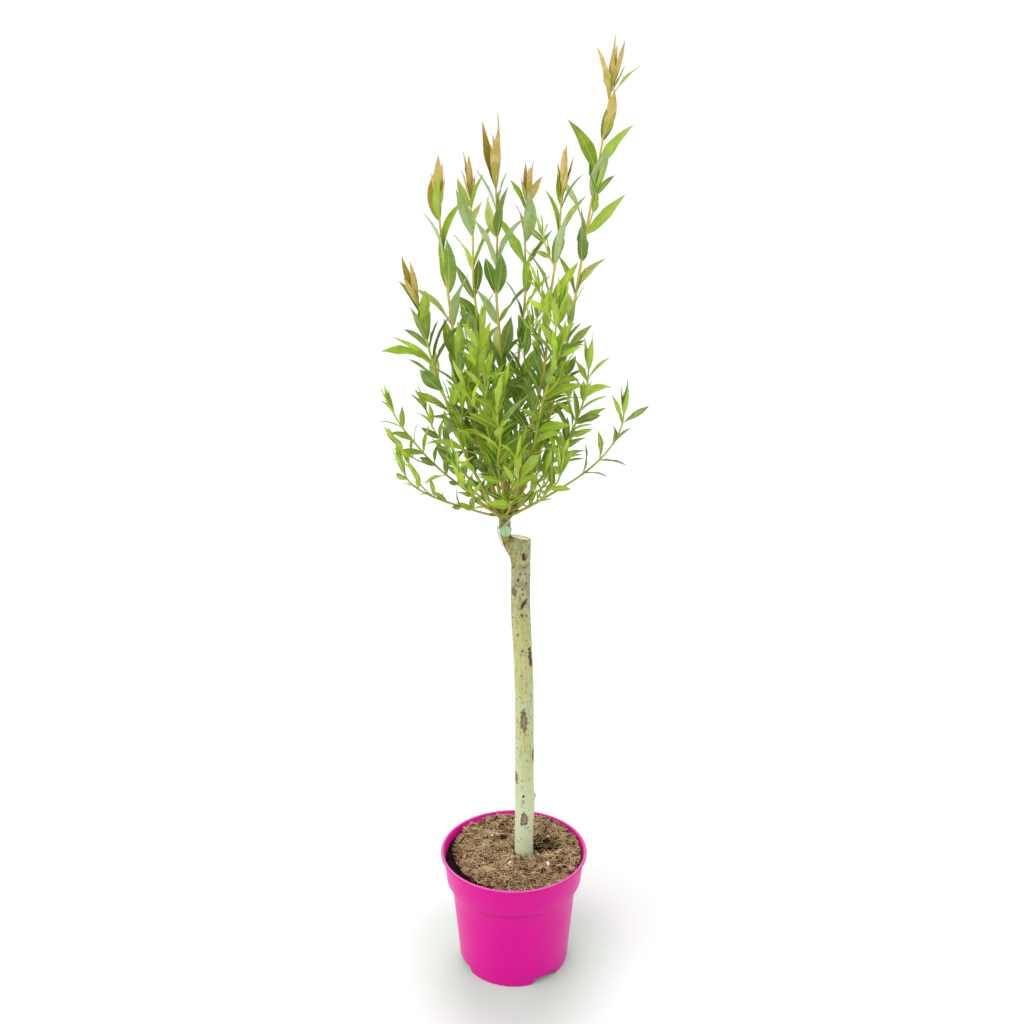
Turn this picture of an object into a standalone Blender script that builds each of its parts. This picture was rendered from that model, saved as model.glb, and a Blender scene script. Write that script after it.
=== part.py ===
"""A young willow grown as a standard: a bare pale trunk in a plastic pot, with a head of upright shoots.

Metres, +Z up, the viewer looking along +Y. The origin is on the ground at the pot's axis.
"""

import math
import random
from dataclasses import dataclass

import bmesh
import bpy
from mathutils import Matrix, Vector
from mathutils.bvhtree import BVHTree

# Room between pieces that touch on the real plant
GAP = 0.0003

# Pot: a turned shell with a rolled lip, a deep collar, a plain tapering body and a notched foot
POT_SEGMENTS = 40
POT_HEIGHT = 0.147
LIP_RADIUS = 0.095
LIP_DROP = 0.0038
COLLAR_TOP_RADIUS = 0.0908
COLLAR_LOW_RADIUS = 0.0870
COLLAR_LOW_Z = 0.109
BODY_TOP_RADIUS = 0.0808
BASE_RADIUS = 0.0700
FOOT_CHAMFER = 0.0016
WALL = 0.0020
FLOOR_UNDER_Z = 0.006
FLOOR_TOP_Z = 0.008
NOTCH_BEARINGS = (33.5, 115.0, 213.5, 295.0)
NOTCH_FOOT_ANGLE = 30.0
NOTCH_TOP_ANGLE = 21.5
NOTCH_HEIGHT = 0.0058

# Potting mix: a root ball that stands a little off centre, so a dark crescent shows beside it
MIX_TOP_Z = 0.1388
MIX_EDGE_DROP = 0.0028
MIX_EDGE_ROUND = 0.010
MIX_SHIFT = 0.0044
MIX_BEARING = 35.0
MIX_SEGMENTS = 36

# Trunk: a cut length of pale willow with a slanting top and a collar of bark where the head grows out
TRUNK_SIDES = 18
TRUNK_FOOT = Vector((0.0130, 0.0045, MIX_TOP_Z + GAP))
TRUNK_TOP = Vector((0.0088, 0.0010, 0.5570))
TRUNK_BOW = 0.0022
TRUNK_RINGS = 13
TRUNK_FOOT_RADIUS = 0.0128
TRUNK_MID_RADIUS = 0.0113
TRUNK_TOP_RADIUS = 0.0118
TRUNK_FLARE_HEIGHT = 0.020
TRUNK_CUT_SLOPE = 0.20
COLLAR_ROOT = Vector((0.0040, 0.0000, 0.5270))
COLLAR_END = Vector((-0.0094, -0.0010, 0.5485))
COLLAR_RADIUS = 0.0068
COLLAR_ROOT_SWELL = 1.12
COLLAR_MIDDLE_SWELL = 1.08

# Head: the stub that carries every shoot, swollen into a round knuckle at its top
HEAD_SIDES = 14
KNUCKLE_CENTRE = Vector((-0.0110, -0.0020, 0.5890))
KNUCKLE_RADIUS = 0.0108
KNUCKLE_LOWEST = -50.0
KNUCKLE_HIGHEST = 78.0
KNUCKLE_STEPS = 6
STUB_BEND = Vector((-0.0112, -0.0016, 0.5600))
STUB_RADIUS = 0.0067
NECK_RISE = 0.010

# Tie: a thin band round the stub with a round clip at its front
TIE_Z = 0.5680
TIE_CLEAR = 0.0008
TIE_BAND_THICK = 0.0009
TIE_BAND_HEIGHT = 0.0032
TIE_CLIP_RADIUS = 0.0066
TIE_CLIP_THICK = 0.0022
TIE_CLIP_BEVEL = 0.0009
TIE_SIDES = 18

# Stems of the shoots: three-sided in their leafy length, rounder where they are bare boughs
FOOT_SPREAD = 1.30
FOOT_ROOM = 0.0009
FOOT_ROUNDS = 80
LOWEST_FOOT = 112.0
FOOT_BEND = 0.012
STEM_SAMPLES = 96
STEM_RESERVE = 16
STEM_TIP_RADIUS = 0.0010
THREE_SIDED = 1.30
RING_GAP = 0.006
STEM_SLACK = 0.00018
SHORTEST_BOUGH = 0.065
BOUGH_SIDES = 7
BOUGH_SIDES_ROOM = 1.06
BOUGH_STEP = 0.022
SWAY = 0.0022
LEAFLESS_FOOT = 0.006

# Leaves: their shares are of their own length
LEAF_WIDEST = 0.44
LEAF_WIDTH = 0.235
LEAF_LEAST_THICK = 0.0009
LEAF_THICK_SHARE = 0.014
LEAF_ROOT_HALF = 0.0003
LEAF_LIFT = 0.9
LEAF_ARCH = 0.07
LEAF_TRIES = 6
GROWN_NODES = 3
LOWER_SPREAD = 0.35
LOWER_FALL = 0.22
PAIR_SLIP = 0.16
BLADE_START = 0.16
BLADE_PAD = 0.0005
TIP_LEAF_WIDTH = 0.165
TIP_LEAF_FALL = 0.09
TIP_NODE_GAP = 0.0014
TIP_OPENING = 6.0
TIP_OPENING_STEP = 3.2
FIRST_NODE_SHARE = 0.30
GOLDEN_ANGLE = 137.5
LOWEST_LEAF_Z = 0.556

# Side twigs
TWIG_RADIUS = 0.0011
TWIG_LENGTHS = (0.036, 0.056)
TWIG_OPENING = 46.0
TWIG_SAMPLES = 10
TWIG_LIFT = 0.09
TWIG_LEAF = 0.036
TWIG_TIP_LEAF = 0.030
TWIG_SPREAD = 42.0
TWIG_SPACING = 0.018
TWIG_BARE = 0.012


@dataclass(frozen=True)
class Shoot:
    """One shoot of the head: where its stem ends, how it gets there, and how it is clothed."""

    name: str
    end: tuple
    swing: float
    turn: float
    girth: float
    bare: float
    leaf: float
    spacing: float
    spread: float
    bearing: float
    tips: int
    tip_leaf: float
    twigs: int = 0


@dataclass(frozen=True)
class Dress:
    """How one stem is clothed: its leaves' length, spacing and spread, and those of its tip."""

    leaf: float
    spacing: float
    spread: float
    bearing: float
    tips: int
    tip_leaf: float


SHOOTS = (
    Shoot("tall_right", (0.11, 0.02, 1.073), 0.3, 6, 0.0028, 0.12, 0.068, 0.036, 28, 180, 5, 0.058, 2),
    Shoot("tall_centre", (-0.021, 0.02, 0.964), 0.5, 2, 0.0026, 0.115, 0.066, 0.033, 28, 20, 3, 0.084, 2),
    Shoot("tall_left", (-0.081, -0.05, 0.932), 0.8, 2, 0.0025, 0.11, 0.068, 0.035, 24, 285, 5, 0.052, 1),
    Shoot("mid_left", (-0.053, 0.065, 0.965), 0.6, 2.5, 0.0023, 0.11, 0.064, 0.035, 26, 150, 5, 0.052, 1),
    Shoot("mid_centre", (0.016, 0.08, 0.965), 0.6, 2.5, 0.0023, 0.11, 0.064, 0.034, 26, 10, 5, 0.05, 1),
    Shoot("mid_right", (0.051, -0.06, 0.944), 0.45, 4, 0.0024, 0.1, 0.062, 0.033, 24, 100, 5, 0.05, 2),
    Shoot("low_left", (-0.106, -0.05, 0.83), 0.36, 3, 0.0022, 0.085, 0.06, 0.028, 34, 170, 4, 0.052, 1),
    Shoot("low_right", (0.085, -0.025, 0.76), 1, 1.9, 0.002, 0.06, 0.042, 0.024, 44, 10, 3, 0.044, 1),
    Shoot("arching_right", (0.127, -0.02, 0.709), 1, 2, 0.0017, 0.07, 0.044, 0.024, 56, 20, 3, 0.042),
    Shoot("spreading_left", (-0.147, 0.015, 0.713), 0.6, 1.9, 0.0017, 0.045, 0.038, 0.019, 50, 60, 4, 0.034, 1),
    Shoot("inner_left", (-0.112, 0.055, 0.714), 0.6, 1.8, 0.0017, 0.045, 0.036, 0.019, 42, 30, 4, 0.028, 1),
    Shoot("lowest_left", (-0.127, -0.04, 0.644), 0.9, 2.2, 0.0015, 0.03, 0.038, 0.018, 48, 70, 4, 0.036, 1),
    Shoot("front", (-0.018, -0.094, 0.723), 0.8, 2.2, 0.0016, 0.045, 0.044, 0.021, 44, 20, 4, 0.05),
    Shoot("front_short", (0.004, -0.104, 0.672), 0.9, 2, 0.0014, 0.026, 0.036, 0.018, 46, 0, 4, 0.032),
    Shoot("bright_left", (-0.037, -0.07, 0.792), 0.6, 2.2, 0.0019, 0.07, 0.052, 0.025, 34, 30, 3, 0.05, 1),
    Shoot("bright_right", (0.047, -0.075, 0.818), 0.6, 2.2, 0.002, 0.075, 0.054, 0.026, 32, 60, 4, 0.048, 2),
    Shoot("small_centre", (0.013, 0.04, 0.782), 0.5, 2.2, 0.0018, 0.07, 0.05, 0.025, 32, 120, 4, 0.028, 1),
    Shoot("back_left", (-0.07, 0.092, 0.745), 0.8, 2, 0.0018, 0.05, 0.046, 0.022, 40, 40, 4, 0.04, 1),
    Shoot("back", (-0.012, 0.098, 0.77), 0.7, 2, 0.0019, 0.055, 0.05, 0.023, 38, 80, 4, 0.044, 1),
    Shoot("back_right", (0.048, 0.092, 0.748), 0.8, 2, 0.0018, 0.05, 0.046, 0.022, 40, 10, 4, 0.04, 1),
    Shoot("back_low_left", (-0.088, 0.086, 0.66), 0.9, 2, 0.0015, 0.026, 0.038, 0.019, 46, 20, 4, 0.034),
    Shoot("back_low_right", (0.07, 0.088, 0.662), 0.9, 2, 0.0015, 0.026, 0.038, 0.019, 46, 60, 4, 0.034),
    Shoot("front_low_left", (-0.062, -0.101, 0.656), 0.9, 2, 0.0015, 0.026, 0.038, 0.019, 46, 30, 4, 0.034),
    Shoot("front_low_right", (0.05, -0.099, 0.654), 0.9, 2, 0.0015, 0.026, 0.038, 0.019, 46, 50, 4, 0.034),
)


def clear_scene():
    """Removes what the file opens with."""
    for obj in list(bpy.data.objects):
        bpy.data.objects.remove(obj)


def plain_material(name, colour, roughness, metallic=0.0):
    """A Principled material in one colour."""
    mat = bpy.data.materials.new(name)
    mat.use_nodes = True
    shader = mat.node_tree.nodes["Principled BSDF"]
    shader.inputs["Base Color"].default_value = (*colour, 1.0)
    shader.inputs["Roughness"].default_value = roughness
    shader.inputs["Metallic"].default_value = metallic
    return mat


def place(name, bm, mat, smooth_under=None):
    """Makes a bmesh an object of the scene, shaded smooth where its edges are shallower than an angle."""
    mesh = bpy.data.meshes.new(name)
    bm.to_mesh(mesh)
    bm.free()
    mesh.materials.append(mat)
    obj = bpy.data.objects.new(name, mesh)
    bpy.context.scene.collection.objects.link(obj)
    if smooth_under is not None:
        mesh.shade_smooth()
        mesh.set_sharp_from_angle(angle=math.radians(smooth_under))
    return obj


def settle(obj):
    """Applies the object's modifiers to its mesh."""
    graph = bpy.context.evaluated_depsgraph_get()
    mesh = bpy.data.meshes.new_from_object(obj.evaluated_get(graph))
    obj.modifiers.clear()
    obj.data = mesh


def turned(profile, segments):
    """A closed solid turned about Z from a profile of (radius, height) that starts and ends on the axis."""
    bm = bmesh.new()
    verts = [bm.verts.new((radius, 0.0, height)) for radius, height in profile]
    for low, high in zip(verts, verts[1:]):
        bm.edges.new((low, high))
    bmesh.ops.spin(bm, geom=bm.verts[:] + bm.edges[:], cent=(0, 0, 0), axis=(0, 0, 1),
                   angle=math.tau, steps=segments, use_merge=True)
    bmesh.ops.remove_doubles(bm, verts=bm.verts[:], dist=1e-5)
    bmesh.ops.recalc_face_normals(bm, faces=bm.faces[:])
    return bm


def bearing_turn(degrees):
    """A turn about Z for a bearing counted from the front, -Y, towards +X."""
    return Matrix.Rotation(math.radians(degrees), 4, "Z")


def body_radius(z):
    """Outer radius of the pot's plain body at a height."""
    return BASE_RADIUS + (BODY_TOP_RADIUS - BASE_RADIUS) * z / COLLAR_LOW_Z


def inner_radius(z):
    """Inner radius of the pot at a height, in its body or its collar."""
    if z < COLLAR_LOW_Z:
        return body_radius(z) - WALL
    share = (z - COLLAR_LOW_Z) / (POT_HEIGHT - COLLAR_LOW_Z)
    return COLLAR_LOW_RADIUS - WALL + (COLLAR_TOP_RADIUS - COLLAR_LOW_RADIUS) * share


def make_pot(mat):
    """The pot: one turned shell, with the four drainage notches cut from its foot."""
    collar_top = POT_HEIGHT - LIP_DROP
    shelf_z = COLLAR_LOW_Z + WALL
    profile = [
        (0.0, FLOOR_UNDER_Z),
        (BASE_RADIUS - WALL, FLOOR_UNDER_Z),
        (BASE_RADIUS - WALL, 0.0),
        (BASE_RADIUS - FOOT_CHAMFER * 0.4, 0.0),
        (BASE_RADIUS, FOOT_CHAMFER),
        (BODY_TOP_RADIUS, COLLAR_LOW_Z),
        (COLLAR_LOW_RADIUS - FOOT_CHAMFER, COLLAR_LOW_Z),
        (COLLAR_LOW_RADIUS, COLLAR_LOW_Z + FOOT_CHAMFER),
        (COLLAR_TOP_RADIUS, collar_top),
        (LIP_RADIUS, collar_top + FOOT_CHAMFER),
        (LIP_RADIUS, POT_HEIGHT - FOOT_CHAMFER * 0.5),
        (LIP_RADIUS - FOOT_CHAMFER, POT_HEIGHT),
        (COLLAR_TOP_RADIUS - WALL * 0.4, POT_HEIGHT),
        (inner_radius(collar_top), collar_top),
        (inner_radius(shelf_z), shelf_z),
        (BODY_TOP_RADIUS - WALL, shelf_z - WALL * 0.3),
        (inner_radius(FLOOR_TOP_Z), FLOOR_TOP_Z),
        (0.0, FLOOR_TOP_Z),
    ]
    pot = place("pot", turned(profile, POT_SEGMENTS), mat, smooth_under=35)
    cutters = bpy.data.collections.new("notch_cutters")
    bpy.context.scene.collection.children.link(cutters)
    for bearing in NOTCH_BEARINGS:
        cutter = notch_cutter(bearing)
        cutters.objects.link(cutter)
    cut = pot.modifiers.new("notches", "BOOLEAN")
    cut.operand_type = "COLLECTION"
    cut.collection = cutters
    cut.operation = "DIFFERENCE"
    cut.solver = "EXACT"
    settle(pot)
    for cutter in list(cutters.objects):
        bpy.data.objects.remove(cutter)
    bpy.data.collections.remove(cutters)
    return pot


def notch_cutter(bearing):
    """A wedge that is wider at the ground than at its top, across the foot at one bearing."""
    bm = bmesh.new()
    reach = BASE_RADIUS * 1.25
    start = BASE_RADIUS - WALL * 2.5
    below = -NOTCH_HEIGHT
    slope = (NOTCH_FOOT_ANGLE - NOTCH_TOP_ANGLE) / NOTCH_HEIGHT
    for z in (below, NOTCH_HEIGHT):
        half = math.radians(NOTCH_TOP_ANGLE + slope * (NOTCH_HEIGHT - z)) / 2
        corners = [(side * math.tan(half) * radius, -radius, z)
                   for side, radius in ((-1, start), (1, start), (1, reach), (-1, reach))]
        ring = [bm.verts.new(corner) for corner in corners]
        bm.faces.new(ring)
    bmesh.ops.bridge_loops(bm, edges=bm.edges[:])
    bmesh.ops.recalc_face_normals(bm, faces=bm.faces[:])
    bm.transform(bearing_turn(bearing))
    mesh = bpy.data.meshes.new("notch_cutter")
    bm.to_mesh(mesh)
    bm.free()
    cutter = bpy.data.objects.new("notch_cutter", mesh)
    cutter.hide_render = True
    cutter.display_type = "WIRE"
    return cutter


def make_mix(mat):
    """The potting mix: a slightly domed ball as deep as the pot, pushed towards the back right."""
    flat = math.cos(math.pi / POT_SEGMENTS)

    def ball_radius(z):
        return inner_radius(z) * flat - MIX_SHIFT - GAP

    edge_z = MIX_TOP_Z - MIX_EDGE_DROP
    below_shelf = COLLAR_LOW_Z - WALL
    above_shelf = COLLAR_LOW_Z + WALL * 2
    top_radius = ball_radius(edge_z)
    profile = [
        (0.0, FLOOR_TOP_Z + GAP),
        (ball_radius(FLOOR_TOP_Z) - GAP, FLOOR_TOP_Z + GAP),
        (ball_radius(below_shelf), below_shelf),
        (ball_radius(below_shelf), above_shelf),
        (top_radius, edge_z),
        (top_radius - MIX_EDGE_ROUND * 0.35, MIX_TOP_Z - MIX_EDGE_DROP * 0.3),
        (top_radius - MIX_EDGE_ROUND, MIX_TOP_Z),
        (0.0, MIX_TOP_Z),
    ]
    bm = turned(profile, MIX_SEGMENTS)
    turn = math.radians(MIX_BEARING)
    bm.transform(Matrix.Translation((MIX_SHIFT * math.cos(turn), MIX_SHIFT * math.sin(turn), 0)))
    return place("potting_mix", bm, mat, smooth_under=40)


def ring_at(point, tangent, side, radius, sides):
    """Corners of one flat ring round a point, square to a tangent, and the side axis it used."""
    side = (side - tangent * side.dot(tangent)).normalized()
    other = tangent.cross(side)
    turns = [math.tau * step / sides for step in range(sides)]
    return [point + (side * math.cos(a) + other * math.sin(a)) * radius for a in turns], side


def along_points(points):
    """Each point of a line with the line's direction there."""
    last = len(points) - 1
    return [(point, (points[min(index + 1, last)] - points[max(index - 1, 0)]).normalized())
            for index, point in enumerate(points)]


def limb(stations, radii, sides):
    """A tapering limb with flat ends: rings square to the direction at each station, joined by faces."""
    bm = bmesh.new()
    rings = []
    side = Vector((1, 0, 0))
    for (point, tangent), radius in zip(stations, radii):
        corners, side = ring_at(point, tangent, side, radius, sides)
        rings.append([bm.verts.new(corner) for corner in corners])
    for low, high in zip(rings, rings[1:]):
        for step in range(sides):
            ahead = (step + 1) % sides
            bm.faces.new((low[step], low[ahead], high[ahead], high[step]))
    bm.faces.new(rings[0][::-1])
    bm.faces.new(rings[-1])
    return bm


def trunk_radius(share):
    """Radius of the trunk at a share of its height: widest at the flared foot, least in the middle."""
    height = share * (TRUNK_TOP.z - TRUNK_FOOT.z)
    extra = (TRUNK_FOOT_RADIUS - TRUNK_MID_RADIUS) / 2
    flare = extra * math.exp(-height / TRUNK_FLARE_HEIGHT)
    swell = (TRUNK_TOP_RADIUS - TRUNK_MID_RADIUS) * share ** 3
    return TRUNK_MID_RADIUS + flare + extra * (1 - share) + swell


def make_trunk(mat):
    """The trunk, bowed a little, with the slanting saw cut and the collar where the head grows out."""
    shares = [(step / (TRUNK_RINGS - 1)) for step in range(TRUNK_RINGS)]
    path = [TRUNK_FOOT.lerp(TRUNK_TOP, share) + Vector((TRUNK_BOW * math.sin(math.pi * share), 0, 0))
            for share in shares]
    bm = limb(along_points(path), [trunk_radius(share) for share in shares], TRUNK_SIDES)
    bm.verts.ensure_lookup_table()
    for vert in bm.verts[:TRUNK_SIDES]:
        vert.co.z = TRUNK_FOOT.z
    for vert in bm.verts[-TRUNK_SIDES:]:
        vert.co.z = TRUNK_TOP.z - (vert.co.x - TRUNK_TOP.x) * TRUNK_CUT_SLOPE
    trunk = place("trunk", bm, mat, smooth_under=40)
    middle = COLLAR_ROOT.lerp(COLLAR_END, 0.5)
    stations = along_points([COLLAR_ROOT, middle, COLLAR_END])
    radii = [COLLAR_RADIUS * COLLAR_ROOT_SWELL, COLLAR_RADIUS * COLLAR_MIDDLE_SWELL, COLLAR_RADIUS]
    collar = place("bark_collar", limb(stations, radii, HEAD_SIDES), mat)
    join = trunk.modifiers.new("collar", "BOOLEAN")
    join.object = collar
    join.operation = "UNION"
    join.solver = "EXACT"
    settle(trunk)
    bpy.data.objects.remove(collar)
    return trunk


def make_head(mat):
    """The stub and its knuckle: one limb from the trunk's collar, swollen to a ball at its top."""
    lean = (COLLAR_END - COLLAR_ROOT).normalized()
    neck = Vector((KNUCKLE_CENTRE.x, KNUCKLE_CENTRE.y, STUB_BEND.z + NECK_RISE))
    path = [COLLAR_END + lean * GAP, STUB_BEND, neck]
    radii = [COLLAR_RADIUS, STUB_RADIUS, KNUCKLE_RADIUS * math.cos(math.radians(KNUCKLE_LOWEST))]
    for step in range(KNUCKLE_STEPS + 1):
        angle = math.radians(KNUCKLE_LOWEST + (KNUCKLE_HIGHEST - KNUCKLE_LOWEST) * step / KNUCKLE_STEPS)
        path.append(KNUCKLE_CENTRE + Vector((0, 0, KNUCKLE_RADIUS * math.sin(angle))))
        radii.append(KNUCKLE_RADIUS * math.cos(angle))
    bm = limb(along_points(path), radii, HEAD_SIDES)
    bm.verts.ensure_lookup_table()
    foot = path[0]
    for vert in bm.verts[:HEAD_SIDES]:
        vert.co -= lean * (vert.co - foot).dot(lean)
    return place("head_stub", bm, mat, smooth_under=45)


def make_tie(mat):
    """The band round the stub and its round clip, as one piece."""
    middle = Vector((KNUCKLE_CENTRE.x, KNUCKLE_CENTRE.y, TIE_Z))
    inner = STUB_RADIUS + TIE_CLEAR
    outer = inner + TIE_BAND_THICK
    half = TIE_BAND_HEIGHT / 2
    bm = bmesh.new()
    corners = [(inner, -half), (outer, -half), (outer, half), (inner, half)]
    verts = [bm.verts.new((radius, 0, z)) for radius, z in corners]
    for step, vert in enumerate(verts):
        bm.edges.new((vert, verts[(step + 1) % len(verts)]))
    bmesh.ops.spin(bm, geom=bm.verts[:] + bm.edges[:], cent=(0, 0, 0), axis=(0, 0, 1),
                   angle=math.tau, steps=TIE_SIDES, use_merge=True)
    bmesh.ops.remove_doubles(bm, verts=bm.verts[:], dist=1e-5)
    bmesh.ops.recalc_face_normals(bm, faces=bm.faces[:])
    bm.transform(Matrix.Translation(middle))
    tie = place("tie_clip", bm, mat, smooth_under=40)
    disc = bmesh.new()
    bmesh.ops.create_cone(disc, cap_ends=True, segments=TIE_SIDES, radius1=TIE_CLIP_RADIUS,
                          radius2=TIE_CLIP_RADIUS - TIE_CLIP_BEVEL, depth=TIE_CLIP_THICK)
    front = middle - Vector((0, inner + TIE_CLIP_THICK / 2 + TIE_BAND_THICK / 3, 0))
    disc.transform(Matrix.Translation(front) @ Matrix.Rotation(math.radians(90), 4, "X"))
    clip = place("clip_disc", disc, mat)
    join = tie.modifiers.new("clip", "BOOLEAN")
    join.object = clip
    join.operation = "UNION"
    join.solver = "EXACT"
    settle(tie)
    bpy.data.objects.remove(clip)
    return tie


def out_share(shoot, rise):
    """How far out a stem is, as a share of its reach, at a share of its rise."""
    early = 1 - (1 - rise) ** shoot.turn
    return shoot.swing * early + (1 - shoot.swing) * rise


def foot_radius(shoot):
    """How far a shoot's foot reaches round its centre: a rounded bough or a three-sided stem."""
    return shoot.girth * (BOUGH_SIDES_ROOM if shoot.bare > SHORTEST_BOUGH else THREE_SIDED)


def foot_directions():
    """Where each shoot sits on the knuckle: a direction from its centre, pushed clear of its neighbours."""
    directions = []
    for shoot in SHOOTS:
        reach = Vector(shoot.end) - KNUCKLE_CENTRE
        steep = shoot.swing * shoot.turn + (1 - shoot.swing)
        polar = math.atan2(Vector((reach.x, reach.y)).length * steep, reach.z)
        polar = min(polar * FOOT_SPREAD, math.radians(LOWEST_FOOT))
        around = math.atan2(reach.y, reach.x)
        directions.append(Vector((math.sin(polar) * math.cos(around),
                                  math.sin(polar) * math.sin(around), math.cos(polar))))
    for _ in range(FOOT_ROUNDS):
        for first in range(len(SHOOTS)):
            for second in range(first + 1, len(SHOOTS)):
                apart = directions[first] - directions[second]
                room = foot_radius(SHOOTS[first]) + foot_radius(SHOOTS[second]) + FOOT_ROOM
                lack = room / KNUCKLE_RADIUS - apart.length
                if lack > 0:
                    push = apart.normalized() * lack * 0.5
                    directions[first] = (directions[first] + push).normalized()
                    directions[second] = (directions[second] - push).normalized()
    return directions


class Path:
    """A stem's centre line, read by length from its foot."""

    def __init__(self, points, start=None):
        self.points = points
        self.start = start
        self.lengths = [0.0]
        for low, high in zip(points, points[1:]):
            self.lengths.append(self.lengths[-1] + (high - low).length)

    @property
    def length(self):
        return self.lengths[-1]

    def at(self, distance):
        """The point and the direction at a distance from the foot."""
        if distance <= 0 and self.start:
            return self.points[0], self.start
        distance = min(max(distance, 0.0), self.length)
        index = 1
        while index < len(self.points) - 1 and self.lengths[index] < distance:
            index += 1
        low, high = self.points[index - 1], self.points[index]
        span = self.lengths[index] - self.lengths[index - 1]
        point = low.lerp(high, (distance - self.lengths[index - 1]) / span)
        return point, self.direction(index, distance)

    def direction(self, index, distance):
        """A smooth direction: the mean of the steps round a distance, weighted by how near they are."""
        here = (self.points[index] - self.points[index - 1]).normalized()
        before = (self.points[max(index - 1, 1)] - self.points[max(index - 2, 0)]).normalized()
        last = len(self.points) - 1
        after = (self.points[min(index + 1, last)] - self.points[min(index, last - 1)]).normalized()
        share = (distance - self.lengths[index - 1]) / (self.lengths[index] - self.lengths[index - 1])
        return (here + before * (1 - share) + after * share).normalized()


def stem_path(shoot, direction):
    """The centre line of a shoot's stem: square to the knuckle at its foot, with a slight sideways sway."""
    foot = KNUCKLE_CENTRE + direction * (KNUCKLE_RADIUS + GAP)
    end = Vector(shoot.end)
    reach = Vector((end.x - foot.x, end.y - foot.y, 0))
    across = Vector((-reach.y, reach.x, 0)).normalized()
    chance = random.Random(shoot.name + " sway")
    waves = chance.uniform(1.6, 2.6)
    start = chance.uniform(0, math.tau)
    points = []
    for step in range(STEM_SAMPLES + 1):
        rise = step / STEM_SAMPLES
        sway = SWAY * math.sin(start + math.tau * waves * rise) * math.sin(math.pi * rise) ** 0.5
        points.append(foot + reach * out_share(shoot, rise) + Vector((0, 0, (end.z - foot.z) * rise))
                      + across * sway * min(1.0, rise * 4))
    lack = direction - (points[1] - points[0]).normalized()
    squared = []
    for point in points:
        away = (point - foot).length
        squared.append(point + lack * away * math.exp(-away / FOOT_BEND))
    return Path(squared, direction)


@dataclass
class Leaf:
    """A leaf: where it is rooted, which way it points and faces, and its size."""

    root: Vector
    along: Vector
    face: Vector
    length: float
    width: float
    arch: float


def outward(tangent, around):
    """The direction square to a stem at a bearing round it."""
    side = (Vector((1, 0, 0)) - tangent * tangent.x).normalized()
    other = tangent.cross(side)
    return side * math.cos(math.radians(around)) + other * math.sin(math.radians(around))


def make_leaf(path, distance, around, opening, roll, length, slender, arch):
    """A leaf at a distance along a stem: opened from it, lifted towards the light, rolled about itself."""
    point, tangent = path.at(distance)
    out = outward(tangent, around)
    angle = math.radians(opening)
    lift = Vector((0, 0, LEAF_LIFT * (1 - tangent.z)))
    along = (tangent * math.cos(angle) + out * math.sin(angle) + lift).normalized()
    face = tangent * math.sin(angle) - out * math.cos(angle)
    face = (face - along * face.dot(along)).normalized()
    turn = math.radians(roll)
    face = face * math.cos(turn) + along.cross(face) * math.sin(turn)
    return Leaf(point, along, face, length, length * slender, arch)


def leaf_solid(leaf, start=0.0, pad=0.0):
    """A leaf as a keeled kite of eight faces. A start above 0 leaves its root off, and a pad fattens it."""
    across = leaf.along.cross(leaf.face)
    thick = max(LEAF_LEAST_THICK, leaf.length * LEAF_THICK_SHARE)
    root = leaf.root + leaf.along * (leaf.length * start)
    middle = leaf.root + leaf.along * (leaf.length * LEAF_WIDEST) + leaf.face * (leaf.length * leaf.arch)
    half = leaf.width / 2 + pad
    bm = bmesh.new()
    root_top = bm.verts.new(root + leaf.face * (LEAF_ROOT_HALF + pad))
    root_low = bm.verts.new(root - leaf.face * (LEAF_ROOT_HALF + pad))
    left = bm.verts.new(middle - across * half + leaf.face * pad)
    right = bm.verts.new(middle + across * half + leaf.face * pad)
    keel = bm.verts.new(middle - leaf.face * (thick + pad))
    tip = bm.verts.new(leaf.root + leaf.along * (leaf.length + pad))
    faces = ((root_top, right, left), (left, right, tip), (root_top, left, root_low),
             (root_top, root_low, right), (root_low, left, keel), (root_low, keel, right),
             (left, tip, keel), (right, keel, tip))
    for corners in faces:
        bm.faces.new(corners)
    bmesh.ops.recalc_face_normals(bm, faces=bm.faces[:])
    return bm


class Space:
    """What already stands in the head, for keeping new leaves and twigs off it."""

    def __init__(self):
        self.limbs = []
        self.blades = []

    def add_limb(self, owner, bm):
        """Remembers a bough, stem or twig of an owner."""
        self.limbs.append((owner, BVHTree.FromBMesh(bm)))

    def leaf_fits(self, owner, leaf, siblings):
        """The leaf's blade, if it is clear of other owners' limbs and of every blade but its siblings."""
        tip = leaf.root + leaf.along * leaf.length
        if min(tip.z, leaf.root.z) < LOWEST_LEAF_Z:
            return None
        blade = leaf_solid(leaf, BLADE_START, BLADE_PAD)
        tree = BVHTree.FromBMesh(blade)
        blade.free()
        if any(other != owner and tree.overlap(limb_tree) for other, limb_tree in self.limbs):
            return None
        if any(mark not in siblings and tree.overlap(other) for mark, other in self.blades):
            return None
        return tree

    def limb_fits(self, owner, bm):
        """Whether a new twig is clear of other owners' limbs and of every blade."""
        tree = BVHTree.FromBMesh(bm)
        if any(other != owner and tree.overlap(limb_tree) for other, limb_tree in self.limbs):
            return False
        return not any(tree.overlap(other) for _, other in self.blades)


def try_leaf(space, owner, mark, siblings, path, aim):
    """Places a leaf by its aim, turned a little at each try until it is clear, or gives None."""
    chance = random.Random(f"{owner} {mark}")
    distance, around, opening, roll, length, slender, arch = aim
    for _ in range(LEAF_TRIES):
        leaf = make_leaf(path, distance, around, opening, roll, length, slender, arch)
        tree = space.leaf_fits(owner, leaf, {f"{owner} {other}" for other in siblings})
        if tree:
            space.blades.append((f"{owner} {mark}", tree))
            return [leaf]
        around += chance.uniform(-34, 34)
        opening += chance.uniform(-5, 12)
        length *= 0.94
    return []


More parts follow.
